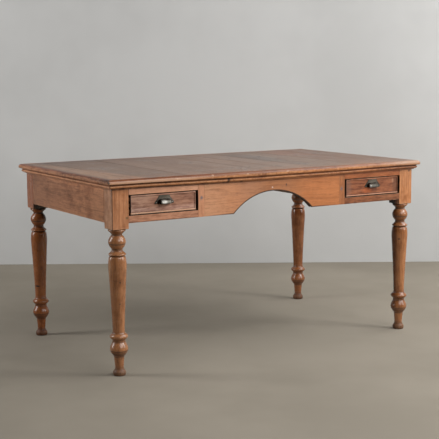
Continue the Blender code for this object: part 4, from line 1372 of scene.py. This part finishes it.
@dataclass
class CupPull:
    """A cast cup pull: a flared back plate, a hood open below for the fingers, and two screws."""

    width: float = 0.084
    top_width: float = 0.045
    height: float = 0.0325
    wing: float = 0.006
    plate: float = 0.0018
    plate_edge: float = 0.0005
    metal: float = 0.0016
    flare: float = 1.25
    flare_steps: int = 16
    hood_width: float = 0.055
    hood_height: float = 0.0190
    hood_projection: float = 0.0198
    hood_columns: int = 44
    hood_rows: int = 18
    squareness: float = 5.0
    soft_edge: float = 0.00035
    screw_radius: float = 0.0021
    screw_height: float = 0.0009
    screw_slot: float = 0.0005
    screw_turn: float = 0.6
    screw_inset: float = 0.0058
    screw_rise: float = 0.0040
    raised: float = 0.0048
    shifts: dict[str, float] = field(default_factory=lambda: {"left": 0.0030, "right": 0.0010})
    seeds: dict[str, float] = field(default_factory=lambda: {"left": 2.0, "right": 6.0})

    def _hood(self, centre: Vector, thinner: float, projection: float, whole: bool) -> bpy.types.Object:
        """A hood: a squarish round section swept about a level axis.

        Args:
            centre: the middle of the axis.
            thinner: how much less than the outside it is, in height and at each end.
            projection: how far it stands forward.
            whole: sweep a half turn, and not a quarter.

        Returns:
            The solid.
        """
        bm, half, height = bmesh.new(), self.hood_width / 2 - thinner, self.hood_height - thinner
        section = []
        for index in range(1, self.hood_columns):
            along = -math.cos(math.pi * index / self.hood_columns)
            section.append((along * half, (1 - abs(along) ** self.squareness) ** (1 / self.squareness)))
        first, last = (bm.verts.new(centre + Vector((x, 0, 0))) for x in (-half, half))
        rows = []
        for index in range(self.hood_rows * (2 if whole else 1) + 1):
            angle = QUARTER * index / self.hood_rows
            forward, rise = projection * math.sin(angle), height * math.cos(angle)
            row = [bm.verts.new(centre + Vector((x, -forward * share, rise * share))) for x, share in section]
            rows.append([first] + row + [last])
        for near, far in zip(rows, rows[1:]):
            for index in range(len(near) - 1):
                bm.faces.new(list(dict.fromkeys((near[index], near[index + 1], far[index + 1], far[index]))))
        ends = [rows[0] + rows[-1][-2:0:-1]] if whole else [rows[0], rows[-1]]
        for end in ends:
            bm.faces.new(end)
        return new_piece("tool_hood", bm)

    def _plate(self, middle: float, low: float, face: float, back: float) -> bpy.types.Object:
        """The flared back plate with its edges filed round."""
        half, top = self.width / 2, self.top_width / 2
        right = [(half, 0.0)]
        for index in range(self.flare_steps + 1):
            share = index / self.flare_steps
            x = top + (half - top) * (1 - share) ** self.flare
            right.append((x, self.wing + (self.height - self.wing) * share))
        outline = right + [(-x, z) for x, z in reversed(right)]
        bm = slab([(middle + x, low + z) for x, z in outline], back, face)
        edges = [edge for edge in bm.edges if all(abs(v.co.y - face) < 1e-6 for v in edge.verts)]
        bmesh.ops.bevel(bm, geom=edges, offset=self.plate_edge, segments=2, profile=0.5, affect="EDGES")
        return new_piece("tool_plate", bm, 30)

    def build(self, side: str, finishes: "Finishes") -> None:
        """Builds and dresses one pull with its screws.

        Args:
            side: left or right.
            finishes: every piece's finish.
        """
        node = f"cup_pull_{side}"
        low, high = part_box(node)
        middle, back, foot = (low.x + high.x) / 2 + self.shifts[side], high.y, low.z + self.raised
        face = back - self.plate
        pull = self._plate(middle, foot, face, back)
        pull.name = f"cast_{node}"
        outer, inner = (Vector((middle, face + self.plate / share, foot)) for share in (2, 8))
        carve(pull, self._hood(outer, 0.0, self.hood_projection, False), "UNION")
        projection = self.hood_projection - self.plate / 2 - self.metal
        carve(pull, self._hood(inner, self.metal, projection, True))
        soft = pull.modifiers.new("cast edges", "BEVEL")
        soft.width, soft.segments, soft.limit_method, soft.angle_limit = self.soft_edge, 2, "ANGLE", math.radians(50)
        finishes.pewter.dress(pull, finishes.effects, self.seeds[side], finishes.marks[node])
        stand_for(pull, f"drawer_{side}", "pewter", node)
        for number, sign in enumerate(SIDES.values()):
            place = Vector((middle + sign * (self.width / 2 - self.screw_inset), face, foot + self.screw_rise))
            screw = dome_head(
                f"screw_{side}_{number + 1}", place, self.screw_radius, self.screw_height,
                self.screw_slot, self.screw_turn + number,
            )
            finishes.screw.dress(screw, finishes.effects, 3.0 + number)
            stand_for(screw, f"drawer_{side}", "pewter")


def dome_head(
    name: str, place: Vector, radius: float, height: float, slot: float = 0.0, turn: float = 0.0
) -> bpy.types.Object:
    """A small domed head that looks along -Y, with a slot across it if asked.

    Args:
        name: the piece's name.
        place: the middle of its foot.
        radius: its radius.
        height: how far it stands out.
        slot: the slot's width, or 0.
        turn: the slot's angle.

    Returns:
        The object, with a short shank behind it.
    """
    skin, facets, rows, rim = Skin(), 28, 7, 0.25
    shank = radius * 0.45
    section = [(shank, -0.004), (shank, 0.0), (radius, 0.0)]
    for index in range(rows):
        angle = QUARTER * index / rows
        section.append((radius * math.cos(angle), height * (rim + (1 - rim) * math.sin(angle))))
    uneven = [1 + 0.05 * waver((index, 0, 0), 0.7, radius * 900) for index in range(facets)]
    for reach, out in section:
        angles = (math.tau * index / facets for index in range(facets))
        skin.ring(
            (place + Vector((reach * share * math.cos(angle), -out, reach * share * math.sin(angle))),)
            for share, angle in zip(uneven, angles)
        )
    skin.close()
    head = new_piece(name, skin.bm, 45)
    if slot:
        cutter = box_solid((-radius * 1.2, -height * 2, -slot / 2), (radius * 1.2, -height * 0.45, slot / 2))
        cutter.data.transform(Matrix.Translation(place) @ Matrix.Rotation(turn, 4, "Y"))
        carve(head, cutter)
    return head


@dataclass
class Nails:
    """Old nail heads, driven nearly flush into the stiles."""

    face: float = -0.42395
    height: float = 0.0005
    heads: dict[str, tuple[float, float, float]] = field(
        default_factory=lambda: {"left": (-0.3480, 0.6700, 0.0021), "right": (0.3470, 0.6630, 0.0022)}
    )

    def build(self, finishes: "Finishes") -> None:
        """Builds and dresses each head."""
        for number, (side, (x, z, radius)) in enumerate(self.heads.items()):
            head = dome_head(f"nail_stile_{side}", Vector((x, self.face, z)), radius, self.height)
            finishes.iron.dress(head, finishes.effects, 1.0 + number)
            stand_for(head, "frame", "pewter")


# Every piece's finish


class Finishes:
    """Which finish each piece has, with its own marks and drifts of tone."""

    def __init__(self) -> None:
        """Chooses the finishes and builds the effects that they share."""
        self.effects = Effects()
        self.bare = WoodFinish(
            "bare", (0.420, 0.290, 0.180), (0.280, 0.180, 0.105), pore=(0.12, 0.07, 0.04), worn=(0.5, 0.37, 0.25),
            wear=0.25, roughness=0.72, coat=0.0, blotches=0.6, streaks=0.6, corners=0.7,
        )
        self.woods = self._frame_woods() | self._leg_woods() | self._moulding_woods()
        self.woods |= self._top_woods() | self._drawer_woods()
        self.pewter = MetalFinish("pewter", (0.105, 0.096, 0.080), (0.030, 0.026, 0.021), roughness=0.42)
        self.screw = MetalFinish("screw", (0.34, 0.32, 0.29), (0.07, 0.06, 0.05), roughness=0.45)
        self.iron = MetalFinish("iron", (0.13, 0.13, 0.145), (0.06, 0.056, 0.060), metallic=0.5, roughness=0.55)
        self.drifts = self._frame_drifts() | self._top_drifts()
        self.marks = self._frame_marks() | self._top_marks() | self._leg_marks() | self._pull_marks()

    def dress(
        self, piece: bpy.types.Object, node: str, run: GrainRun, seed: float, modelled_wear: bool = False
    ) -> None:
        """Gives a wooden piece the finish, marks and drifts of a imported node.

        Args:
            piece: the object to dress.
            node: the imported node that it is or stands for.
            run: how the grain lies.
            seed: what sets it apart from the others.
            modelled_wear: take wear and dirt from the mesh.
        """
        marks, drifts = self.marks.get(node, ()), self.drifts.get(node, ())
        self.woods.get(node, self.bare).dress(piece, self.effects, run, seed, marks, drifts, modelled_wear)

    @staticmethod
    def _frame_woods() -> dict[str, WoodFinish]:
        """The aprons, rails, stiles and arched panel."""
        plain = WoodFinish("oiled", (0.500, 0.205, 0.090), (0.330, 0.120, 0.048), mottle=0.42)
        return {
            "arch_panel": plain.toned(
                (0.500, 0.180, 0.060), (0.330, 0.110, 0.034), heart_depth=0.10, blotches=0.22, mottle=0.32
            ),
            "stile_left": plain.toned((0.615, 0.290, 0.158), (0.470, 0.208, 0.110), wear=0.15, streaks=0.4),
            "stile_right": plain.toned((0.440, 0.167, 0.062), (0.270, 0.093, 0.033), wear=0.15, mottle=0.7),
            "upper_rail_left": plain.toned((0.660, 0.335, 0.200), (0.400, 0.188, 0.107)),
            "lower_rail_left": plain.toned((0.510, 0.240, 0.138), (0.260, 0.108, 0.057), mottle=0.7),
            "upper_rail_right": plain.toned((0.425, 0.136, 0.042), (0.250, 0.066, 0.018)),
            "lower_rail_right": plain.toned((0.288, 0.098, 0.037), (0.122, 0.038, 0.014), mottle=0.8),
            "end_apron_left": plain.toned(
                (0.530, 0.235, 0.115), (0.270, 0.108, 0.048), blotches=0.80, heart_depth=0.07, mottle=0.5, corners=0.4
            ),
            "end_apron_right": plain.toned((0.490, 0.205, 0.098), (0.310, 0.115, 0.048), blotches=0.6),
            "back_apron": plain.toned((0.450, 0.190, 0.092), (0.280, 0.105, 0.048), blotches=0.7),
        }

    @staticmethod
    def _leg_woods() -> dict[str, WoodFinish]:
        """The four legs."""
        leg = WoodFinish(
            "leg", (0.400, 0.171, 0.069), (0.196, 0.073, 0.027), lines=0.24, line_spacing=0.0036, heart_depth=0.012,
            wander=0.014, streaks=0.72, mottle=0.28, wear=0.38, roughness=0.28, coat=0.36, coat_roughness=0.10,
            shine=0.40, corners=0.62, blotches=0.75,
        )
        return {
            "leg_front_left": leg,
            "leg_front_right": leg.tinted((1.06, 1.02, 0.95)),
            "leg_back_left": leg.tinted((0.83, 0.61, 0.38)),
            "leg_back_right": leg.tinted((0.74, 0.61, 0.51)),
        }

    @staticmethod
    def _moulding_woods() -> dict[str, WoodFinish]:
        """The edge moulding and the lower moulding."""
        plain = WoodFinish(
            "moulding", (0.410, 0.158, 0.056), (0.220, 0.076, 0.026), worn=(0.520, 0.250, 0.115), wear=0.80,
            streaks=1.0, mottle=0.9, blotches=0.6, line_spacing=0.003, heart_depth=0.3, wander=0.02, roughness=0.40,
            corners=0.55,
        )
        woods = {f"{kind}_moulding_{side}": plain for kind in ("edge", "lower") for side in ("front", "back", *SIDES)}
        return woods | {
            "edge_moulding_left": plain.toned(
                (0.470, 0.190, 0.094), (0.200, 0.068, 0.026), worn=(0.560, 0.290, 0.160), blotches=0.9, mottle=1.3
            ),
            "edge_moulding_back": plain.toned((0.600, 0.240, 0.090), (0.40, 0.14, 0.05), worn=(0.750, 0.420, 0.220)),
            "lower_moulding_left": plain.toned(
                (0.620, 0.275, 0.140), (0.33, 0.13, 0.055), worn=(0.700, 0.375, 0.210)
            ),
            "lower_moulding_front": plain.toned((0.450, 0.180, 0.068), plain.dark, worn=(0.560, 0.275, 0.120)),
        }

    @staticmethod
    def _top_woods() -> dict[str, WoodFinish]:
        """The eight boards, each a little apart in tone."""
        top = WoodFinish(
            "top", (0.268, 0.155, 0.101), (0.145, 0.076, 0.045), worn=(0.30, 0.21, 0.15), grime=(0.036, 0.023, 0.016),
            lines=0.45, streaks=1.0, blotches=0.45, wear=0.4, roughness=0.36, coat=0.0, heart_depth=0.12, corners=0.95,
        )
        tones = (
            (1.0, 1.0, 1.0), (0.94, 0.90, 0.86), (1.05, 1.02, 0.99), (1.06, 1.04, 1.02),
            (1.02, 1.02, 1.02), (0.94, 0.97, 0.99), (1.03, 0.94, 0.88), (0.97, 0.91, 0.87),
        )
        return {f"top_board_{number}": top.tinted(tone) for number, tone in enumerate(tones, 1)}

    @staticmethod
    def _drawer_woods() -> dict[str, WoodFinish]:
        """The two drawer fronts."""
        drawer = WoodFinish(
            "drawer", (0.405, 0.206, 0.131), (0.202, 0.084, 0.052), blotches=0.60, streaks=0.65, lines=0.30,
            mottle=0.8, heart_depth=0.06, roughness=0.38, worn=(0.60, 0.33, 0.18), wear=0.40, corners=0.70,
            corner_reach=0.006, wander=0.05,
        )
        right = drawer.toned((0.335, 0.118, 0.050), (0.150, 0.042, 0.017), worn=(0.66, 0.38, 0.22), wear=0.6)
        return {"drawer_front_left": drawer, "drawer_front_right": right}

    @staticmethod
    def _frame_drifts() -> dict[str, tuple[Drift, ...]]:
        """How the tone changes over legs, aprons, rails, panel, drawer fronts and mouldings, with painted shade on
        inner faces, undersides and a leg's side, and painted light on a few faces.
        """
        block = Drift(UP, 0.5716, 0.5726, (1.36, 1.42, 1.66), ragged=0.0)
        dusty = Drift(DOWN, -0.044, -0.014, (0.46, 0.52, 0.62), ragged=0.014, dull=0.35)
        # Painted shade: the lower rails go dark on their undersides.
        soiled = Drift(DOWN, -0.5987, -0.5957, (0.22, 0.17, 0.13), ragged=0.004)
        return {
            "arch_panel": (Drift(LEFT, -0.02, 0.36, (1.18, 1.62, 2.60), ragged=0.08),),
            "end_apron_left": (
                Drift(BACK, -0.25, 0.36, (0.68, 0.68, 0.72), ragged=0.2),
                # Painted shade on the inner face.
                Drift(RIGHT, -0.7160, -0.7152, (0.2, 0.17, 0.15), ragged=0),
                # Painted light: the strip under the moulding is lightened against the moulding's shadow.
                Drift(UP, 0.708, 0.724, (1.36, 1.36, 1.34), ragged=0.006),
            ),
            # Painted shade on the inner faces of the right end apron and the back apron.
            "end_apron_right": (Drift(LEFT, -0.7160, -0.7152, (0.10, 0.08, 0.07), ragged=0),),
            "back_apron": (Drift(FRONT, -0.4008, -0.4000, (0.25, 0.22, 0.20), ragged=0),),
            "lower_rail_left": (soiled,),
            "lower_rail_right": (soiled, Drift(RIGHT, 0.50, 0.62, (1.15, 1.30, 1.50), ragged=0.1)),
            # Painted sheen: the left face of the front left block is lightened and greyed.
            "leg_front_left": (block, Drift(LEFT, 0.7370, 0.7386, (1.25, 1.48, 1.82), ragged=0.0), dusty),
            "leg_front_right": (
                # Painted shade down the left side of the leg.
                Drift((-0.85, 0.52, 0), -0.7900, -0.7745, (0.45, 0.36, 0.29), ragged=0.006),
                replace(block, colour=(1.42, 1.52, 1.76)),
                dusty,
            ),
            "leg_back_left": (replace(block, colour=(1.08, 1.00, 1.04)), dusty),
            "leg_back_right": (block, dusty),
            "drawer_front_left": (
                # Painted light: the lower part, over the bead, is lightened.
                Drift(DOWN, -0.656, -0.640, (1.28, 1.46, 1.68), ragged=0.02),
                Drift(LEFT, 0.50, 0.62, (1.04, 1.16, 1.24), ragged=0.05),
            ),
            "edge_moulding_left": (Drift(UP, 0.7590, 0.7640, (0.56, 0.46, 0.42), ragged=0.008),),
            "lower_moulding_front": (Drift(RIGHT, 0.10, 0.55, (0.97, 0.80, 0.68), ragged=0.1),),
        }

    @staticmethod
    def _top_drifts() -> dict[str, tuple[Drift, ...]]:
        """How the tone changes over the whole top, and over its two boards at the left end."""
        plan = (
            Drift(LEFT, -0.30, 0.75, (0.81, 0.75, 0.67), ragged=0.1),
            Drift(BACK, -0.05, 0.43, (0.84, 0.79, 0.75), ragged=0.1),
            Drift(FRONT, 0.33, 0.40, (1.22, 1.12, 1.05), ragged=0.03),
            Drift(BACK, 0.20, 0.40, (0.92, 0.80, 0.64), ragged=0.05),
            Drift(BACK, 0.402, 0.428, (0.88, 0.66, 0.52), ragged=0.01),
        )
        pale = Drift((-1, -0.115, 0), 0.645, 0.652, (1.70, 1.66, 1.54), 0.9, 0.012)
        margin = Drift(LEFT, 0.722, 0.742, (0.66, 0.64, 0.60), 0.9, 0.008)
        return {f"top_board_{number}": plan + ((pale, margin) if number < 3 else ()) for number in range(1, 9)}

    @staticmethod
    def _top_marks() -> dict[str, tuple[Mark, ...]]:
        """The marks on the boards and on both mouldings."""
        smoked = tint((-0.66, 0.42, 0.765), (0.70, 0.10, 0.03), (0.64, 0.55, 0.47))
        handled = tint((-0.742, -0.428, 0.765), (0.085, 0.040, 0.03), (0.54, 0.47, 0.39), 0.15)
        bleached = tint((-0.65, -0.12, 0.765), (0.055, 0.21, 0.03), (1.15, 1.16, 1.22))
        reddish = tint((0.54, 0.23, 0.765), (0.16, 0.20, 0.1), (1.14, 0.95, 0.84))
        greyish = tint((0.24, 0.10, 0.765), (0.11, 0.36, 0.1), (0.64, 0.68, 0.74))
        browned = tint((0.68, -0.02, 0.765), (0.32, 0.52, 0.03), (0.80, 0.73, 0.66))
        stained = tint((-0.20, -0.449, 0.7606), (1.15, 0.05, 0.0090), (0.54, 0.47, 0.42), 0.08)
        pinkish = Mark((-0.58, -0.450, 0.7530), (0.36, 0.02, 0.0080), (0.52, 0.31, 0.20), 0.8, 0.15)
        peach = Mark((0.74, -0.449, 0.760), (0.22, 0.03, 0.016), (0.38, 0.215, 0.130), 0.8, 0.15)
        ruddy = tint((-0.50, -0.447, 0.7635), (0.42, 0.03, 0.0070), (0.88, 0.74, 0.58))
        rubbed = tint((0.24, -0.4495, 0.7535), (0.36, 0.03, 0.0090), (1.20, 1.16, 1.05), 0.15)
        grimy = tint((-0.757, -0.425, 0.763), (0.03, 0.050, 0.010), (0.52, 0.50, 0.48), 0.3)
        middle = tint((0.0, -0.440, 0.736), (0.42, 0.03, 0.024), (1.06, 1.04, 1.00))
        shaded = tint((0.73, -0.440, 0.736), (0.16, 0.03, 0.024), (0.62, 0.58, 0.52))
        mitre = black_joint_and_painted_shade((-0.7652, -0.4502, 0.756), (0.0085, 0.0085, 0.0130), 0.85, 0.3)
        lower_mitre = black_joint_and_painted_shade((-0.7552, -0.4402, 0.737), (0.0045, 0.0045, 0.030), 0.85, 0.3)
        chips = tuple(
            Mark((x, -0.4495, z), (reach, 0.02, 0.0036), (0.66, 0.44, 0.29), 0.5, 0.5)
            for x, z, reach in (
                (-0.470, 0.7550, 0.006), (-0.310, 0.7580, 0.006), (-0.146, 0.7550, 0.007), (0.048, 0.7560, 0.010)
            )
        )
        return {f"top_board_{number}": (smoked, handled, bleached) for number in (1, 2, 3)} | {
            "top_board_6": (greyish,),
            "top_board_7": (reddish, browned),
            "top_board_8": (reddish, browned),
            "edge_moulding_front": (stained, pinkish, ruddy, rubbed, peach, *chips, mitre),
            "edge_moulding_left": (grimy, mitre),
            "lower_moulding_front": (middle, shaded, lower_mitre),
            "lower_moulding_left": (lower_mitre,),
        }

    @staticmethod
    def _frame_marks() -> dict[str, tuple[Mark, ...]]:
        """The marks on stiles, panel, rails and drawer fronts, black painted shade in the openings round the drawers,
        and painted highlights along the drawers' lower beads.
        """
        iron_stain, marks = (0.150, 0.135, 0.150), {}
        for side, sign in SIDES.items():
            # Painted shade: black on the ends of each drawer front, and along the lower rail under it.
            marks[f"drawer_front_{side}"] = tuple(
                black_joint_and_painted_shade((sign * x, -0.4125, 0.662), (0.0030, 0.06, 0.12)) for x in (0.660, 0.373)
            )
            lip = ((sign * 0.5165, -0.4130, 0.6231), (0.60, 0.022, 0.0022))
            marks[f"lower_rail_{side}"] = (black_joint_and_painted_shade(*lip, 0.95, 0.05),)
        marks["drawer_front_left"] += (
            # Painted highlight along the lower bead.
            Mark((-0.5165, -0.4225, 0.6288), (0.60, 0.012, 0.0052), (0.66, 0.38, 0.23), 0.7, 0.15),
        )
        marks["drawer_front_right"] += (
            Mark((0.490, -0.4225, 0.6475), (0.040, 0.02, 0.016), (0.46, 0.12, 0.035), 0.85, 0.35),
            Mark((0.383, -0.4225, 0.662), (0.030, 0.02, 0.060), (0.24, 0.130, 0.090), 0.45, 0.2),
            Mark((0.647, -0.4225, 0.660), (0.024, 0.02, 0.060), (0.105, 0.048, 0.028), 0.55, 0.2),
            Mark((0.632, -0.4225, 0.682), (0.008, 0.02, 0.014), (0.46, 0.24, 0.14), 0.6, 0.3),
            # Painted highlight along the lower bead.
            Mark((0.5165, -0.4225, 0.6286), (0.60, 0.012, 0.0028), (0.60, 0.32, 0.20), 0.85, 0.2),
        )
        return marks | {
            "stile_left": (
                Mark((-0.348, -0.424, 0.670), (0.0085, 0.01, 0.0105), iron_stain, 0.75),
                # Painted shade: black on the stile's end in the drawer opening.
                black_joint_and_painted_shade((-0.364, -0.400, 0.662), (0.0026, 0.2, 0.066)),
            ),
            "stile_right": (
                Mark((0.347, -0.424, 0.663), (0.0075, 0.01, 0.0120), iron_stain, 0.70),
                # Painted shade: black on the stile's end in the drawer opening.
                black_joint_and_painted_shade((0.364, -0.400, 0.662), (0.0026, 0.2, 0.066)),
            ),
            "arch_panel": (
                Mark((-0.010, -0.424, 0.691), (0.0045, 0.01, 0.0040), (0.80, 0.62, 0.48), 0.9, 0.15),
                Mark((0.059, -0.424, 0.698), (0.0045, 0.01, 0.0075), (0.07, 0.04, 0.03), 0.85, 0.2),
                tint((-0.02, -0.424, 0.70), (0.22, 0.05, 0.16), (0.82, 0.92, 1.12)),
            ),
        }

    @staticmethod
    def _leg_marks() -> dict[str, tuple[Mark, ...]]:
        """The knots, holes and nicks of the legs, a dark line down one block's corner, and black painted shade on
        blocks, necks and balls where they face into the drawer openings and where they lie under the table.
        """
        return {
            "leg_front_left": (
                # Painted shade: black on the block's face in the drawer opening.
                black_joint_and_painted_shade((-0.669, -0.350, 0.640), (0.0026, 0.072, 0.20)),
                Mark((-0.739, -0.424, 0.655), (0.0040, 0.0040, 0.24), SOOT, 0.80, 0.12),
                Mark((-0.678, -0.424, 0.615), (0.007, 0.01, 0.008), (0.10, 0.080, 0.04), 0.7, 0.3),
                Mark((-0.7095, -0.421, 0.369), (0.0055, 0.012, 0.0036), SOOT, 0.80, 0.3),
                Mark((-0.7240, -0.416, 0.376), (0.030, 0.030, 0.0024), SOOT, 0.30, 0.3),
                Mark((-0.7090, -0.416, 0.285), (0.0040, 0.008, 0.0035), SOOT, 0.75, 0.3),
            ),
            "leg_front_right": (
                # Painted shade: black on the block's face in the drawer opening.
                black_joint_and_painted_shade((0.669, -0.350, 0.640), (0.0026, 0.072, 0.20)),
                Mark((0.722, -0.424, 0.720), (0.0075, 0.01, 0.0075), SOOT, 0.75, 0.3),
                Mark((0.680, -0.414, 0.415), (0.0060, 0.01, 0.0060), SOOT, 0.75, 0.3),
                # Painted shade: black on the left side of the block and neck under the rail, and on the block beside
                # the drawer.
                black_joint_and_painted_shade((0.6785, -0.3720, 0.572), (0.026, 0.040, 0.036), 0.85, 0.15),
                black_joint_and_painted_shade((0.669, -0.4165, 0.645), (0.0030, 0.014, 0.030), 0.95, 0.05),
                black_joint_and_painted_shade((0.669, -0.4165, 0.680), (0.0030, 0.014, 0.030), 0.95, 0.05),
            ),
            "leg_back_left": (
                black_joint_and_painted_shade((-0.7240, 0.374, 0.2250), (0.016, 0.020, 0.0050), 0.95, 0.2),
                # Painted shade: black on the block's front face under the apron and on the side of the neck.
                black_joint_and_painted_shade((-0.704, 0.354, 0.583), (0.060, 0.012, 0.034), 0.95, 0.1),
                black_joint_and_painted_shade((-0.6785, 0.3700, 0.545), (0.030, 0.034, 0.056), 0.75, 0.2),
            ),
            # Painted shade on the front of the upper ball.
            "leg_back_right": (black_joint_and_painted_shade((0.6880, 0.3620, 0.540), (0.040, 0.036, 0.040), 0.60, 0.2),),
        }

    @staticmethod
    def _pull_marks() -> dict[str, tuple[Mark, ...]]:
        """Where the pulls are tarnished and polished, with painted reflections on the hood: a dark left end, a bright
        spot, and at the right pull a darkened middle as painted shade against its own highlight.
        """
        marks = {}
        for side, middle, bright, reach, painted_hood_shade in (
            ("left", -0.5135, -0.5210, 0.0170, 1.0), ("right", 0.5175, 0.4935, 0.0060, 0.5)
        ):
            marks[f"cup_pull_{side}"] = (
                # The hood's dark left end is tarnish together with a painted dark reflection; the middle tint is
                # painted shade that damps the right hood's highlight; the bright spot is polish together with a
                # painted reflection of a lamp.
                tint((middle - 0.0300, -0.4330, 0.668), (0.0180, 0.02, 0.03), (0.22, 0.18, 0.15), 0.05),
                tint((middle, -0.4420, 0.668), (0.0300, 0.012, 0.014), (painted_hood_shade, painted_hood_shade, painted_hood_shade), 0.10),
                Mark((bright, -0.4405, 0.670), (reach, 0.016, 0.016), (0.33, 0.32, 0.29), 0.9, 0.15),
                tint((middle, -0.4225, 0.686), (0.060, 0.012, 0.012), (0.80, 0.76, 0.72), 0.15),
            )
        return marks


def dress_packed(finishes: Finishes) -> None:
    """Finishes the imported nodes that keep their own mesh."""
    runs = {
        "end_apron": GrainRun.Y_FACE_X, "stile": GrainRun.UPRIGHT_FACE_Y, "kicker": GrainRun.Y_FACE_Z,
        "runner": GrainRun.Y_FACE_Z, "drawer_side": GrainRun.Y_FACE_X, "drawer_bottom": GrainRun.X_FACE_Z,
        "glue_block": GrainRun.X_FACE_Z,
    }
    for number, (name, node) in enumerate(sorted(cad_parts.items())):
        if not node.hide_render:
            run = next((run for start, run in runs.items() if name.startswith(start)), GrainRun.X_FACE_Y)
            finishes.dress(node, name, run, 0.9 + 1.7 * number)
            LOG.info("%s keeps its packed mesh, finished as %s", name, node.data.materials[0].name)


# Camera, lamps and stage


@dataclass(frozen=True)
class Lamp:
    """A soft lamp that looks at the table: its direction in degrees, distance, size and light level."""

    name: str
    azimuth: float
    elevation: float
    reach: float
    width: float
    height: float
    level: float


@dataclass
class Studio:
    """The camera of the picture, soft lamps, a plain pale floor and a plain pale wall."""

    lens: float = 89.65
    place: Point = (-2.52724, -4.10097, 1.17260)
    yaw: float = 31.591
    pitch: float = 7.846
    roll: float = -0.401
    aim: Point = (0.0, 0.0, 0.4)
    lamps: tuple[Lamp, ...] = (
        Lamp("front", -90, 28, 4.0, 2.4, 1.8, 0.34),
        Lamp("front_right", -58, 42, 4.2, 2.6, 2.4, 0.34),
        Lamp("low_right", -45, 24, 4.2, 1.0, 2.8, 0.44),
        Lamp("right", -12, 44, 4.2, 2.4, 2.0, 0.46),
        Lamp("left_back", 155, 22, 4.0, 0.9, 2.4, 0.43),
    )
    daylight: Colour = (0.95, 0.97, 1.0)
    daylight_strength: float = 0.03
    wall_distance: float = 6.567
    wall_height: float = 5.0
    half_width: float = 9.0
    floor_depth: float = 16.0

    def camera(self) -> None:
        """Sets the camera where the picture was taken."""
        yaw, pitch, roll = (math.radians(angle) for angle in (self.yaw, self.pitch, self.roll))
        forward = Vector((math.sin(yaw) * math.cos(pitch), math.cos(yaw) * math.cos(pitch), -math.sin(pitch)))
        right = Vector((math.cos(yaw), -math.sin(yaw), 0))
        up = right.cross(forward)
        tilted_right = right * math.cos(roll) + up * math.sin(roll)
        tilted_up = up * math.cos(roll) - right * math.sin(roll)
        data = bpy.data.cameras.new("camera")
        data.lens, data.sensor_width, data.clip_end = self.lens, 36.0, 100.0
        camera = bpy.data.objects.new("camera", data)
        matrix = Matrix((tilted_right, tilted_up, -forward)).transposed().to_4x4()
        matrix.translation = self.place
        camera.matrix_world = matrix
        bpy.context.scene.collection.objects.link(camera)
        bpy.context.scene.camera = camera

    def light(self) -> None:
        """Adds the lamps and an even sky, at a level where a colour renders about as written."""
        for lamp in self.lamps:
            data = bpy.data.lights.new(lamp.name, "AREA")
            data.shape, data.size, data.size_y = "RECTANGLE", lamp.width, lamp.height
            data.energy = lamp.level * math.pi**2 * lamp.reach**2
            around = Matrix.Rotation(math.radians(lamp.azimuth), 4, "Z")
            raised = Matrix.Rotation(math.radians(-lamp.elevation), 4, "Y")
            away = around @ raised @ Vector((lamp.reach, 0, 0))
            holder = bpy.data.objects.new(lamp.name, data)
            holder.location = Vector(self.aim) + away
            holder.rotation_euler = (-away).to_track_quat("-Z", "Y").to_euler()
            bpy.context.scene.collection.objects.link(holder)
        world = bpy.data.worlds.new("sky")
        world.use_nodes = True
        sky = world.node_tree.nodes["Background"]
        sky.inputs["Color"].default_value = (*self.daylight, 1)
        sky.inputs["Strength"].default_value = self.daylight_strength
        bpy.context.scene.world = world
        bpy.context.scene.view_settings.view_transform = "Standard"

    def stage(self) -> None:
        """Adds the floor, and a wall square to the camera that can't be seen from behind."""
        yaw = math.radians(self.yaw)
        ahead, side = Vector((math.sin(yaw), math.cos(yaw), 0)), Vector((math.cos(yaw), -math.sin(yaw), 0))
        foot = Vector((self.place[0], self.place[1], 0)) + ahead * self.wall_distance
        ends = [foot - side * self.half_width, foot + side * self.half_width]
        near, above = [end - ahead * self.floor_depth for end in ends], Vector((0, 0, self.wall_height))
        floor = self._sheet("floor", ends + near[::-1], (0.235, 0.205, 0.160), (0.280, 0.245, 0.194))
        high = [end + above for end in ends]
        wall = self._sheet("wall", ends + high[::-1], (0.54, 0.54, 0.53), (0.60, 0.60, 0.59), one_sided=True)

    @staticmethod
    def _sheet(
        name: str, corners: Sequence[Vector], dark: Colour, light: Colour, one_sided: bool = False
    ) -> bpy.types.Object:
        """A flat matt sheet, a little uneven in tone.

        Args:
            name: its name.
            corners: its corners in order.
            dark: its darker tone.
            light: its lighter tone.
            one_sided: it vanishes from behind.

        Returns:
            The object.
        """
        mesh = bpy.data.meshes.new(name)
        mesh.from_pydata([tuple(corner) for corner in corners], [], [tuple(range(len(corners)))])
        sheet = bpy.data.objects.new(name, mesh)
        bpy.context.scene.collection.objects.link(sheet)
        surface = Surface(f"plain_{name}")
        graph, shader = surface.graph, surface.shader
        cloud = graph.between(graph.noise(surface.place, 0.9, 4.0, 0.6), 0.35, 0.65)
        graph.set(shader, {"Base Color": graph.mix(cloud, dark, light), "Roughness": 0.85})
        if one_sided:
            behind = graph.read("ShaderNodeNewGeometry", output="Backfacing")
            through = graph.read("ShaderNodeBsdfTransparent")
            shown = graph.read("ShaderNodeMixShader", {0: behind, 1: Signal(graph, shader.outputs[0]), 2: through})
            graph.set(graph.tree.nodes["Material Output"], {"Surface": shown})
        mesh.materials.append(surface.material)
        return sheet


def main() -> None:
    """Builds the studio, then every piece in order."""
    logging.basicConfig(level=logging.INFO, format="%(name)s: %(message)s")
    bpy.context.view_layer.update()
    studio = Studio()
    studio.camera()
    studio.light()
    studio.stage()
    finishes = Finishes()
    for sub_assembly in (TurnedLegs(), edge_moulding(), lower_moulding(), TopBoards(), ArchedPanel()):
        sub_assembly.build(finishes)
    for side in SIDES:
        DrawerFront().build(side, finishes)
        CupPull().build(side, finishes)
    Nails().build(finishes)
    dress_packed(finishes)


if __name__ == "__main__":
    main()
